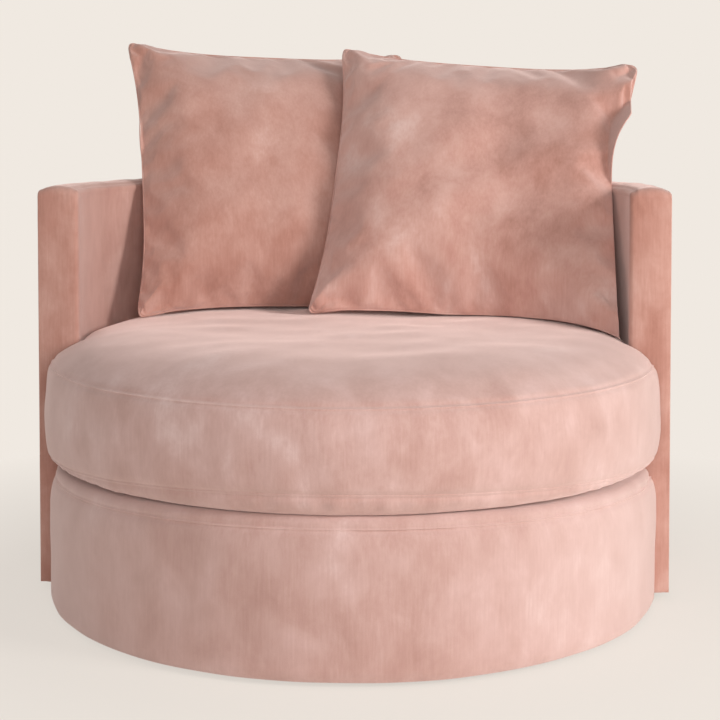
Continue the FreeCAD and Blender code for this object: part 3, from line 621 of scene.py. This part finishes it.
# %% Inside and outside of the tub
seam_level = rim_edge - 0.010
radius, height, shown = pad_section(tub_inner, foam_back, ring_bottom, seam_level, 0.0016, 40)
tub_pad("tub_inside", radius, height, shown, arm_face + 0.0115,
        ("shell_inner_cover", "shell_inner_foam"), 21, 1)
radius, height, shown = pad_section(tub_outer, wadding_back, tub_hem, seam_level, -0.0016, 56)
tub_pad("tub_outside", radius, height, shown, arm_face + 0.002,
        ("shell_outer_cover", "shell_outer_wadding"), 27, -1)

# %% [markdown]
# One strip of velvet covers the edge of the wall: it comes up the left arm's front, turns back
# over the top, goes all the way round and comes down the right arm's front. Its outer edge ends
# in a raised seam, its inner edge is soft, and it bunches a little at the two top corners.

# %% Border strip
def strip_stations():
    """Stations along half of the strip as (how far back from the arm face, height, share of the
    way through the corner), first up the front, then round the corner, then along the top."""
    corner = 0.013
    up = np.concatenate([tub_hem + 0.018 * np.linspace(0, 1, 10) ** 1.5,
                         np.linspace(tub_hem + 0.02, rim_edge - corner - 0.05, 40),
                         np.linspace(rim_edge - corner - 0.045, rim_edge - corner, 16)])
    bend = np.linspace(0, np.pi / 2, 15)[1:]
    back = np.concatenate([np.zeros(len(up)), corner * (1 - np.cos(bend))])
    height = np.concatenate([up, rim_edge - corner + corner * np.sin(bend)])
    through = np.concatenate([np.zeros(len(up)), bend / (np.pi / 2)])
    return back, height, through


def strip_section(through, edge_cut):
    """Across the strip at each station: distance from its inner edge and how proud it stands.
    Rounded edges (larger on the inner side), and a low crown that is higher on the top."""
    width = tub_outer - tub_inner
    inner_roll = 0.0115 + (0.009 - 0.0115) * through
    outer_roll = 0.0035 + (0.009 - 0.0035) * through
    crown = 0.0018 + (rim_crest - rim_edge - 0.0018) * through
    roll = np.linspace(0, np.pi / 2, 9)
    first = inner_roll[:, None] * (1 - np.cos(roll))
    last = width - edge_cut[:, None] - outer_roll[:, None] * (1 - np.cos(roll[::-1]))
    flat = np.linspace(0, 1, 26)[1:-1]
    middle = first[:, -1:] + (last[:, :1] - first[:, -1:]) * flat
    across = np.hstack([first, middle, last])
    proud = np.hstack([-inner_roll[:, None] * (1 - np.sin(roll)),
                       crown[:, None] * (1 - (2 * flat - 1) ** 2) ** 0.8,
                       -outer_roll[:, None] * (1 - np.sin(roll[::-1]))])
    return across, proud


# %% Border strip, made
def border_strip():
    """Carries the strip's section along its stations, with the seam, folds and hills on it, and
    closes it with a hidden side below the cloth."""
    back, height, through = strip_stations()
    half = len(back)
    run = smooth(0, 1, np.linspace(0, 1, 281)) * 0.25 + np.linspace(0, 1, 281) * 0.75
    back_all = np.concatenate([back, np.zeros(len(run) - 2), back[::-1]])
    height_all = np.concatenate([height, np.full(len(run) - 2, rim_edge), height[::-1]])
    through_all = np.concatenate([through, np.ones(len(run) - 2), through[::-1]])
    hem_corner = 0.013
    from_hem = np.clip(hem_corner - (height_all - tub_hem), 0, hem_corner)
    edge_cut = hem_corner - np.sqrt(hem_corner ** 2 - from_hem ** 2)
    across, proud = strip_section(through_all, edge_cut)
    radius = tub_inner + across
    side = np.arcsin(-arm_face / radius)
    corner = back[-1]
    left = np.pi + side - (back_all[:, None]) / radius
    right = -side + (back_all[:, None]) / radius
    start, stop = np.pi + side - corner / radius, -side + corner / radius
    angle = np.where(np.arange(len(back_all))[:, None] < half, left, right)
    top = slice(half, half + len(run) - 2)
    angle[top] = start[top] + (stop[top] - start[top]) * run[1:-1, None]
    up = np.sin(through_all * np.pi / 2)[:, None]
    out = np.cos(through_all * np.pi / 2)[:, None]
    way = np.where(np.arange(len(back_all)) < half + len(run) // 2, 1.0, -1.0)[:, None]
    tangent = np.stack([np.sin(angle) * way, -np.cos(angle) * way], -1)
    spot = polar(angle, radius, height_all[:, None])
    edge = (tub_outer - tub_inner) - edge_cut[:, None] - across
    relief = seam_relief(edge, groove=0.0, line=0.0010, thread=0.0016) * (1 - 0.6 * up)
    relief += 0.0006 * hills(spot, 0.03, 33) + 0.0008 * hills(spot, 0.09, 34)
    near_corner = np.exp(-((through_all - 0.55) / 0.5) ** 2) * (np.abs(height_all - rim_edge) < 0.06)
    fold = np.sin(across / 0.0105 * np.pi + 3 * np.sin(height_all[:, None] * 60))
    relief += 0.0011 * near_corner[:, None] * fold * np.exp(-(across / 0.03) ** 2)
    total = proud + relief
    # the tangent points along the wall, away from the arm front; the face looks the other way
    points = spot.copy()
    points[..., :2] -= tangent * (total * out)[..., None]
    points[..., 2] += total * up
    depth = 0.0086 * out + (rim_edge - ring_top) * up
    hidden = spot.copy()
    hidden[..., :2] += tangent * (depth * out)[..., None]
    hidden[..., 2] -= depth[..., 0][:, None] * up
    loop = np.concatenate([points, hidden[:, ::-6]], axis=1)
    shown = np.arange(loop.shape[1]) < points.shape[1]
    rows, cols = loop.shape[:2]
    piece = make_piece("border_strip", loop, tube(rows, cols), "chair", [VELVET_TUB, FOAM],
                       inside=np.broadcast_to(~shown, (rows, cols)))
    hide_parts("shell_border_strip", "shell_top_pad", "arm_front_pads")


border_strip()

# %% [markdown]
# ## Seat cushion
# A thick round cushion with a plain seam at the top and bottom of its side band. The band swells
# between the seams, the top is steep at first and then a low crown, and below the lower seam the
# cloth turns in to where the cushion rests on the drum, in small puckers.

# %% Height of the seat
LOWER_SEAM = 0.307
UPPER_SEAM = 0.446
SIDE_DROP = 0.030


def crown_height(distance):
    """Height of the seat at a distance from the axis: a crown that is nearly level in the middle
    and falls steeply to the upper seam."""
    share = np.clip(distance / (cushion_radius - 0.012), 0, 1)
    return UPPER_SEAM + (cushion_crest - UPPER_SEAM) * (1 - share ** 8) ** (1 / 1.15)


# %% Seat cushion, made
def seat_cushion():
    """The plain form, from the middle below to the middle on top, with the distance of each row
    from the axis and the height of the lower seam in each direction."""
    angle = directions(arm_face - 0.003)
    cols = len(angle)
    front = np.sin(angle) < 0
    low_seam = LOWER_SEAM - SIDE_DROP * np.where(front, seam_dip(angle), 1.0)
    foot, seam_radius = cushion_foot_radius, cushion_seam_radius
    under = np.linspace(0, 1, 14)
    turn = np.linspace(0, 1, 20)[1:]
    lower_r = foot + (seam_radius - foot) * np.sin(turn * np.pi / 2) ** 0.85
    lift = (1 - np.cos(turn * np.pi / 2))[:, None] ** 0.9
    lower_z = cushion_low + (low_seam[None, :] - cushion_low) * lift
    band = spread(0, 1, 44, 0.0, 1.0, reach=0.06)[1:]
    band_z = low_seam[None, :] + (UPPER_SEAM - low_seam[None, :]) * band[:, None]
    band_r = seam_radius + 0.011 * (1 - (2 * band - 1) ** 2) ** 0.62
    top_r = seam_radius * np.concatenate([1 - 0.022 * np.linspace(0.06, 1, 14) ** 1.6,
                                          np.linspace(0.972, 0.0, 66)])
    radius = np.concatenate([foot * under, lower_r, band_r, top_r])
    height = np.vstack([np.full((14, cols), cushion_low), lower_z, band_z,
                        np.broadcast_to(crown_height(top_r)[:, None], (len(top_r), cols))])
    limit = plan_limit(angle, tub_inner - 0.003, arm_face - 0.003)
    out = fit_plan(radius[:, None], limit[None, :])
    out[0] = out[-1] = 0
    return polar(angle, out, height), radius, low_seam


def cushion_relief(points, radius, low_seam):
    """Moves the cushion's cloth: seams pulled in, puckers below the lower one, soft hills."""
    around = points / np.maximum(np.linalg.norm(points[..., :2], axis=-1, keepdims=True), 1e-6)
    around[..., 2] = 0
    height = points[..., 2]
    turn = np.arctan2(points[..., 1], points[..., 0])
    outside = smooth(0.5, 0.54, radius)[:, None]
    lower = seam_relief(height - low_seam[None, :])
    upper = seam_relief(height - UPPER_SEAM)
    below = np.exp(-((height - low_seam[None, :] + 0.016) / 0.012) ** 2)
    pucker = 0.0014 * hills(np.stack([turn * 0.58, height * 0.15, height * 0], -1), 0.012, 51)
    swell = 0.0011 * hills(points, 0.045, 52) + 0.0016 * hills(points, 0.12, 53)
    push = (lower + upper + below * pucker + swell * 0.8) * outside
    rise = (0.0010 * hills(points, 0.05, 54) + 0.0022 * hills(points, 0.13, 55)) - 0.002
    above = smooth(UPPER_SEAM, UPPER_SEAM + 0.03, height)
    lowest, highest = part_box("seat_cushion_zip")
    fade = 0.008
    at_zip = smooth(lowest.z - fade, lowest.z, height)
    at_zip = at_zip * (1 - smooth(highest.z, highest.z + fade, height))
    reach = np.abs(points[..., 0]) < highest.x + 0.004
    push = np.where(reach & (points[..., 1] > 0), push * (1 - at_zip) - 0.0035 * at_zip, push)
    moved = points + around * push[..., None]
    moved[..., 2] += rise * above
    return moved


points, radius, low_seam = seat_cushion()
points = cushion_relief(points, radius, low_seam)
rows, cols = points.shape[:2]
points[0], points[-1] = points[0, 0], points[-1, 0]
faces = cells(grid_index(rows, cols, round_cols=True, poles=(True, True)))
CUSHION = make_piece("seat_cushion", points, faces, "seat_cushion", [VELVET_SEAT])
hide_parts("seat_cushion_cover", "seat_cushion_wrap", "seat_cushion_core")

# %% [markdown]
# ## Zip, webbing and underside cloth
# These flat pieces keep the places that the CAD nodes give them. The zip is a tape bent round the
# back of the cushion's band, with a coil of teeth along its middle and a slider at one end.

# %% Zip
def rods(starts, ends, half):
    """Closed square rods from each start to its end, half wide to each side: points and faces."""
    ahead = ends - starts
    ahead /= np.linalg.norm(ahead, axis=1, keepdims=True)
    side = np.cross(ahead, (0.0, 0.0, 1.0))
    side = np.where(np.abs(ahead[:, 2:]) > 0.9, (1.0, 0.0, 0.0), side)
    side /= np.linalg.norm(side, axis=1, keepdims=True)
    up = np.cross(ahead, side)
    ring = [side + up, up - side, -side - up, side - up]
    points = np.stack([spot + half * way for spot in (starts, ends) for way in ring], 1)
    one = np.array([[3, 2, 1, 0], [4, 5, 6, 7], [0, 1, 5, 4], [1, 2, 6, 5], [2, 3, 7, 6], [3, 0, 4, 7]])
    every = one[None] + 8 * np.arange(len(starts))[:, None, None]
    return points.reshape(-1, 3), every.reshape(-1, 4).tolist()


def node_points(node):
    """The points of a CAD node."""
    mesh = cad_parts[node].data
    found = np.empty(len(mesh.vertices) * 3)
    mesh.vertices.foreach_get("co", found)
    return found.reshape(-1, 3)


def cushion_zip():
    """Tape, teeth and slider, on the arc that the CAD zip follows."""
    cad = node_points("seat_cushion_zip")
    outer = np.hypot(cad[:, 0], cad[:, 1]).max()
    turn = np.arctan2(cad[:, 1], cad[:, 0])
    ends, middle = (turn.min(), turn.max()), (cad[:, 2].min() + cad[:, 2].max()) / 2
    half = (cad[:, 2].max() - cad[:, 2].min()) / 2
    angle = np.linspace(*ends, 121)
    loop_r = np.array([outer - 0.0016, outer - 0.0008, outer - 0.0008, outer - 0.0016])
    loop_z = middle + half * np.array([-1.0, -0.96, 0.96, 1.0])
    tape = polar(angle[:, None], loop_r, loop_z)
    tape_piece = make_piece("zip_tape", tape, tube(*tape.shape[:2]), "seat_cushion", [ZIP_TAPE],
                            crease=30)
    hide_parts("seat_cushion_zip")
    end_gap, tooth_pitch = 0.01, 0.0022
    count = int((ends[1] - ends[0] - 2 * end_gap) * outer / tooth_pitch)
    turn = np.linspace(ends[0] + end_gap, ends[1] - end_gap, count)
    spot = polar(turn, outer - 0.0006, middle)
    lift = np.array([0.0, 0.0, 0.0026])
    teeth, faces = rods(spot - lift, spot + lift, 0.0006)
    make_piece("zip_teeth", teeth, faces, "seat_cushion", [ZIP_TAPE], crease=30)
    at = spot[6]
    along = np.array([-math.sin(turn[6]), math.cos(turn[6]), 0.0]) * 0.006
    starts = np.array([at - along, at + along * 0.4])
    stops = np.array([at + along, at + along * 3.2])
    steel = [FRAME_FINISHES["fastener_steel"]]
    slider = make_piece("zip_slider", *rods(starts, stops, 0.0016), "seat_cushion", steel, crease=30)


cushion_zip()


# %% [markdown]
# The straps of the seat are woven: each one goes over and under the ones that cross it. Each CAD
# strap gives the place and the size of one band, and the waves stay inside the straps' height.

# %% Webbing
def parts_of(node):
    """The lowest and highest corner of each connected part of a CAD node."""
    shape = bmesh.new()
    shape.from_mesh(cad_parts[node].data)
    bmesh.ops.remove_doubles(shape, verts=shape.verts, dist=1e-6)
    left, found = set(shape.verts), []
    while left:
        group, queue = set(), [left.pop()]
        while queue:
            vert = queue.pop()
            group.add(vert)
            near = {edge.other_vert(vert) for edge in vert.link_edges} & left
            left -= near
            queue.extend(near)
        spots = np.array([vert.co for vert in group])
        found.append((spots.min(0), spots.max(0)))
    shape.free()
    return sorted(found, key=lambda pair: tuple(pair[0][:2]))


def webbing(node, axis, first):
    """One band for each strap, along one axis (0 is X). It goes over and under the other node's
    straps in turn, and first (0 or 1) says which comes first."""
    straps = parts_of(node)
    both = ["webbing_lengthwise", "webbing_crosswise"]
    crossing = parts_of(both[node == both[0]])
    middles = sorted({round(float((low[axis] + high[axis]) / 2), 4) for low, high in crossing})
    floor_z = min(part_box(name)[0].z for name in both)
    roof_z = max(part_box(name)[1].z for name in both)
    thick, stations = 0.0012, 121
    points, faces = [], []
    for number, (low, high) in enumerate(straps):
        along = np.linspace(low[axis], high[axis], stations)
        wave = np.zeros(stations)
        for count, middle in enumerate(middles):
            up = 1 if (number + count + first) % 2 else -1
            wave += up * np.exp(-((along - middle) / 0.022) ** 2)
        centre = (floor_z + roof_z) / 2 + wave * ((roof_z - floor_z - thick) / 2 - 0.0002)
        across = np.array([low[1 - axis], high[1 - axis], high[1 - axis], low[1 - axis]])
        rise = np.array([-1, -1, 1, 1]) * thick / 2
        band = np.empty((stations, 4, 3))
        band[..., axis], band[..., 1 - axis] = along[:, None], across
        band[..., 2] = centre[:, None] + rise
        offset = len(points) * stations * 4
        points.append(band.reshape(-1, 3))
        faces += [[corner + offset for corner in face] for face in tube(stations, 4)]
    piece = make_piece(node + "_bands", np.concatenate(points), faces, "chair", [WEBBING],
                       crease=30)
    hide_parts(node)


webbing("webbing_lengthwise", 1, 0)
webbing("webbing_crosswise", 0, 1)


# %% [markdown]
# The black cloth below closes the frame. It is stretched over the bottom panel and the tub's
# bottom ring and stapled along their edges, with a round hole for the swivel.

# %% Underside cloth
def underside():
    """A ring-shaped sheet, thin as cloth, inside the space of the CAD cloth."""
    cad = node_points("underside_cloth")
    reach = np.hypot(cad[:, 0], cad[:, 1])
    hole = reach.min()
    front = reach[cad[:, 1] < arm_face - 0.02].max()
    behind = reach[cad[:, 1] > 0.05].max()
    low, high = cad[:, 2].min(), cad[:, 2].max()
    angle = np.linspace(0, 2 * np.pi, 361)[:-1]
    edge = np.where(np.sin(angle) * behind > arm_face + 0.012, behind, front)
    share = np.linspace(0, 1, 22)
    top = hole + (edge[None, :] - hole) * share[:, None]
    radius = np.vstack([top, top[::-1]])
    thin = 0.0003
    sag = np.clip(thin * hills(polar(angle, top, 0.0), 0.06, 71), -thin, thin)
    middle = (low + high) / 2 + sag
    half = min(thin, (high - low) / 4)
    height = np.vstack([middle + half, middle[::-1] - half])
    points = polar(angle, radius, height)
    faces = cells(grid_index(*points.shape[:2], round_cols=True, round_rows=True))
    piece = make_piece("underside_sheet", points, faces, "chair", [BLACK_CLOTH])
    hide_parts("underside_cloth")


underside()

# %% [markdown]
# ## Scatter pillows
# Two square pillows of the same make: two squares of velvet sewn together at a knife edge and
# filled. The edges draw in between the corners, which stay out as blunt ears.

# %% Pillow shape
PILLOW_SIDE = 0.650
PILLOW_DEPTH = 0.172


def pillow_sheets(count=91):
    """Both squares as grids over s and t from -1 to 1, in the pillow's own frame: X to the right,
    -Y out of the front, Z up. The rim draws in between the corners, which are blunt. Depth is
    full in the middle and nothing at the rim. The back's rim is the front's."""
    share = np.sin(np.linspace(-1, 1, count) * np.pi / 2 * 0.93) / math.sin(np.pi / 2 * 0.93)
    s, t = np.meshgrid(share, share, indexing="ij")
    half, pull = PILLOW_SIDE / 2, 0.034
    blunt = 0.017 * np.abs(s * t) ** 12
    x = s * (half - pull * (1 - np.abs(t) ** 3.6) - blunt)
    z = t * (half - pull * (1 - np.abs(s) ** 3.6) - blunt)
    full = ((1 - np.abs(s) ** 2.7) * (1 - np.abs(t) ** 2.7)) ** 0.6
    front = np.stack([x, -PILLOW_DEPTH / 2 * full, z], -1)
    back = front * (1, -1, 1)
    return front, back, full


def sewn(count):
    """Faces of two square grids that share their rim, and which points they use: all of the
    front's, and those of the back that aren't on the rim."""
    index = np.arange(count * count).reshape(count, count)
    rim = np.zeros((count, count), bool)
    rim[0] = rim[-1] = rim[:, 0] = rim[:, -1] = True
    behind = np.zeros((count, count), int)
    behind[~rim] = count * count + np.arange((~rim).sum())
    behind[rim] = index[rim]
    faces = cells(index) + [face[::-1] for face in cells(behind)]
    outline = np.concatenate([index[:-1, 0], index[-1, :-1], index[:0:-1, -1], index[0, :0:-1]])
    return faces, rim, outline


# %% [markdown]
# A filled cover is a little too large for its filling, so it wrinkles along its seams. Blender's
# cloth does that: the seam is held, the cloth may grow by a few percent, and light pressure from
# inside presses it out. No point may move further than the cap, so the pillow keeps its size.

# %% Gathers at the corners
def gathers(sheet, depth=0.005):
    """Shallow folds that run out of each corner like the ribs of a fan, and fade by a hand's
    width. They differ from corner to corner, and front and back go the same way."""
    moved = sheet.copy()
    half = PILLOW_SIDE / 2
    for number, (x, z) in enumerate([(-1, 1), (1, 1), (1, -1), (-1, -1)]):
        across, up = (half * x - sheet[:, 0]) * x, (half * z - sheet[:, 2]) * z
        far = np.hypot(across, up)
        fan = np.arctan2(up, across) - np.pi / 4
        rib = np.sin((7 + number) * fan + 1.3 * number) + 0.5 * np.sin((13 - number) * fan + number)
        moved[:, 1] += depth * rib * smooth(0.012, 0.05, far) * (1 - smooth(0.06, 0.17, far))
    return moved


# %% Filling by cloth simulation
def stuffed(points, faces, held, growth, bending, frames=20, cap=0.016):
    """Where the points lie after the cloth has been pressed out from inside."""
    mesh = bpy.data.meshes.new("stuffing")
    mesh.from_pydata(points.tolist(), [], faces)
    bag = bpy.data.objects.new("stuffing", mesh)
    bpy.context.scene.collection.objects.link(bag)
    shell = bmesh.new()
    shell.from_mesh(mesh)
    bmesh.ops.recalc_face_normals(shell, faces=shell.faces)
    shell.to_mesh(mesh)
    shell.free()
    bag.vertex_groups.new(name="seam").add(held.tolist(), 1.0, "REPLACE")
    cloth = bag.modifiers.new("cloth", "CLOTH")
    setting = cloth.settings
    setting.quality = 6
    setting.tension_stiffness = 25
    setting.compression_stiffness = 3
    setting.shear_stiffness = 8
    setting.bending_stiffness = bending
    setting.air_damping = 2.0
    setting.use_pressure = True
    setting.uniform_pressure_force = 0.6
    setting.vertex_group_mass = "seam"
    setting.shrink_min = -growth
    setting.shrink_max = -growth
    setting.effector_weights.gravity = 0.0
    cloth.collision_settings.use_collision = False
    cloth.point_cache.frame_end = frames
    for number in range(1, frames + 1):
        bpy.context.scene.frame_set(number)
    pressed = bag.evaluated_get(bpy.context.evaluated_depsgraph_get()).data
    found = np.empty(len(points) * 3)
    pressed.vertices.foreach_get("co", found)
    bpy.data.objects.remove(bag)
    bpy.context.scene.frame_set(1)
    move = found.reshape(-1, 3) - points
    length = np.linalg.norm(move, axis=1, keepdims=True)
    move *= cap * np.tanh(length / cap) / np.maximum(length, 1e-9)
    mean, most = 1000 * length.mean(), 1000 * length.max()
    print(f"cloth pressed out by {mean:.1f} mm on average, {most:.1f} mm at most, before the cap")
    return points + move


# %% Leaning in the tub
def lean(points, centre, yaw, tilt, roll, bend_left, bend_right):
    """Bends a pillow's sides forwards on the level, then rolls it in its own plane, tips it
    back, turns it about the upright axis and moves it to its place."""
    points = points.copy()
    bend = np.where(points[:, 0] < 0, bend_left, bend_right) * (points[:, 0] / (PILLOW_SIDE / 2)) ** 2
    points[:, 1] -= bend * math.cos(math.radians(tilt))
    points[:, 2] -= bend * math.sin(math.radians(tilt))
    turn = (Matrix.Rotation(math.radians(yaw), 3, "Z") @ Matrix.Rotation(math.radians(-tilt), 3, "X")
            @ Matrix.Rotation(math.radians(roll), 3, "Y"))
    return points @ np.array(turn).T + np.array(centre)


def clear_of_chair(points, gap=0.0010):
    """Pushes a pillow off the tub's wall, forwards, and off the seat, upwards. Above the rim the
    wall gives way, slowly at first, so that the ears hang over it without a kink."""
    points = points.copy()
    limit = tub_inner - gap + 16.0 * np.clip(points[:, 2] - rim_crest, 0, None) ** 3
    side = 0.965 * limit
    points[:, 0] = np.clip(points[:, 0], -side, side)
    points[:, 1] = np.minimum(points[:, 1], np.sqrt(limit ** 2 - points[:, 0] ** 2))
    seat = crown_height(np.hypot(points[:, 0], points[:, 1])) + gap + 0.0015
    points[:, 2] = np.maximum(points[:, 2], seat)
    return points


def clear_of_piece(points, other, gap=0.002, near=0.12):
    """Pushes points out of a closed piece, or away from it, to a gap from its surface."""
    tree = BVHTree.FromObject(other, bpy.context.evaluated_depsgraph_get())
    points = points.copy()
    for number, spot in enumerate(points):
        found, normal, _, away = tree.find_nearest(Vector(spot), near)
        if found is not None:
            depth = (Vector(spot) - found).dot(normal)
            if depth < gap and (depth < 0 or away < gap):
                points[number] = found + normal * gap
    return points


PILLOW_PLACES = {
    "left": dict(centre=(-0.188, 0.3575, 0.776), yaw=19.5, tilt=26.5, roll=2.0,
                 bend_left=0.040, bend_right=0.0),
    "right": dict(centre=(0.236, 0.264, 0.763), yaw=0.5, tilt=30.0, roll=4.6,
                  bend_left=0.0, bend_right=0.165),
}

# %% Seam along a pillow's rim
def rim_tube(route, radius=0.0013, sides=6):
    """A thin closed tube round a closed route: a small circle at each point, square to the way."""
    ahead = np.roll(route, -1, axis=0) - np.roll(route, 1, axis=0)
    ahead /= np.linalg.norm(ahead, axis=1, keepdims=True)
    across = np.cross(ahead, route - route.mean(axis=0))
    across /= np.linalg.norm(across, axis=1, keepdims=True)
    third = np.cross(ahead, across)
    turn = np.linspace(0, 2 * np.pi, sides, endpoint=False)
    points = route[:, None] + radius * (across[:, None] * np.cos(turn)[:, None]
                                        + third[:, None] * np.sin(turn)[:, None])
    return points, cells(grid_index(len(route), sides, round_cols=True, round_rows=True))


# %% Both pillows
for side in ("right", "left"):
    place = PILLOW_PLACES[side]
    seed = 61 if side == "left" else 67
    front, back, full = pillow_sheets()
    faces, rim, outline = sewn(len(front))
    sheet = np.concatenate([front.reshape(-1, 3), back[~rim]])
    thick = np.concatenate([full.ravel(), full[~rim]])
    sheet[:, 1] += np.sign(sheet[:, 1]) * 0.003 * hills(sheet, 0.05, seed) * thick
    sheet = gathers(sheet)
    sheet = stuffed(sheet, faces, outline, growth=0.028, bending=0.6)
    sheet = clear_of_chair(lean(sheet, **place))
    if side == "left":
        sheet = clear_of_chair(clear_of_piece(sheet, pillow))
    finish = VELVET_LEFT if side == "left" else VELVET_RIGHT
    pillow = make_piece(side + "_pillow", sheet, faces, side + "_pillow", [finish])
    rounding = pillow.modifiers.new("rounding", "SUBSURF")
    rounding.levels = rounding.render_levels = 1
    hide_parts(side + "_pillow_cover", side + "_pillow_pad")
    tube, tube_faces = rim_tube(sheet[outline])
    seam = make_piece(side + "_pillow_seam", tube, tube_faces, side + "_pillow", [finish])

# %% [markdown]
# ## Room
# A pale floor that keeps the chair's shadow, and a backdrop of the same colour. The camera sees
# the backdrop's plain colour in the world, and the light on the chair is another, softer grey.

# %% World
BACKDROP = (*linear(240, 233, 225), 1.0)


def plain_rays(tree):
    """1 for the rays that see the backdrop as it is (the camera's, mirrored and let through), and
    0 for those that light the chair."""
    path = tree.nodes.new("ShaderNodeLightPath")
    seen = calculate(tree, "ADD", path.outputs["Is Camera Ray"], path.outputs["Is Glossy Ray"],
                     clamp=True)
    return calculate(tree, "ADD", seen, path.outputs["Is Transmission Ray"], clamp=True)


def world_light(strength):
    """The backdrop's colour for the rays that see it, and a soft light of this strength."""
    world = bpy.data.worlds.new("studio")
    bpy.context.scene.world = world
    world.use_nodes = True
    tree = world.node_tree
    tree.nodes.clear()
    seen = add_node(tree, "ShaderNodeBackground", Color=BACKDROP, Strength=1.0)
    light = add_node(tree, "ShaderNodeBackground", Color=(1.0, 0.985, 0.97, 1.0), Strength=strength)
    mix = add_node(tree, "ShaderNodeMixShader", i0=plain_rays(tree), i1=light.outputs[0],
                   i2=seen.outputs[0])
    put = tree.nodes.new("ShaderNodeOutputWorld")
    tree.links.new(mix.outputs[0], put.inputs["Surface"])


world_light(0.31)


# %% Floor
def floor():
    """A matt disc under the chair. Its own colour fades in with distance, so that the chair's
    shadow shows near it and the far floor is one with the backdrop."""
    material = bpy.data.materials.new("floor")
    material.use_nodes = True
    tree = material.node_tree
    tree.nodes.clear()
    plain = add_node(tree, "ShaderNodeEmission", Color=BACKDROP, Strength=1.0)
    matt = add_node(tree, "ShaderNodeBsdfDiffuse", Color=BACKDROP)
    where = tree.nodes.new("ShaderNodeTexCoord").outputs["Object"]
    far = add_node(tree, "ShaderNodeVectorMath", {"operation": "LENGTH"}, i0=where).outputs["Value"]
    fade = add_node(tree, "ShaderNodeMapRange", Value=far, i1=0.7, i2=1.5, i3=0.72,
                    i4=1.0).outputs[0]
    share = calculate(tree, "MULTIPLY", plain_rays(tree), fade)
    mix = add_node(tree, "ShaderNodeMixShader", i0=share, i1=matt.outputs[0], i2=plain.outputs[0])
    put = tree.nodes.new("ShaderNodeOutputMaterial")
    tree.links.new(mix.outputs[0], put.inputs["Surface"])
    corners, reach = 64, 6.0
    rim = polar(np.linspace(0, 2 * np.pi, corners + 1)[:-1], reach, 0.0)
    mesh = bpy.data.meshes.new("floor")
    mesh.from_pydata(rim.tolist(), [], [list(range(corners))])
    mesh.materials.append(material)
    disc = bpy.data.objects.new("floor", mesh)
    bpy.context.scene.collection.objects.link(disc)


floor()

# %% [markdown]
# The key light is a soft box on the chair's right, a little in front of it and above it, so the
# right side is pale. A larger one stands behind the camera and above it, and lifts the shadows.

# %% Lamps
def soft_box(name, place, aim, size, power):
    """A square area lamp that looks at a point."""
    lamp = bpy.data.lights.new(name, "AREA")
    lamp.shape = "SQUARE"
    lamp.size = size
    lamp.energy = power
    lamp.color = (1.0, 0.985, 0.965)
    box = bpy.data.objects.new(name, lamp)
    box.location = place
    box.rotation_euler = (Vector(aim) - Vector(place)).to_track_quat("-Z", "Y").to_euler()
    bpy.context.scene.collection.objects.link(box)


soft_box("key", (3.3, -1.9, 1.7), (0.0, 0.0, 0.5), 1.1, 94.0)
soft_box("front", (0.35, -4.2, 1.5), (0.0, 0.0, 0.5), 2.2, 60.0)

# %% Picture settings
bpy.context.scene.view_settings.view_transform = "Standard"
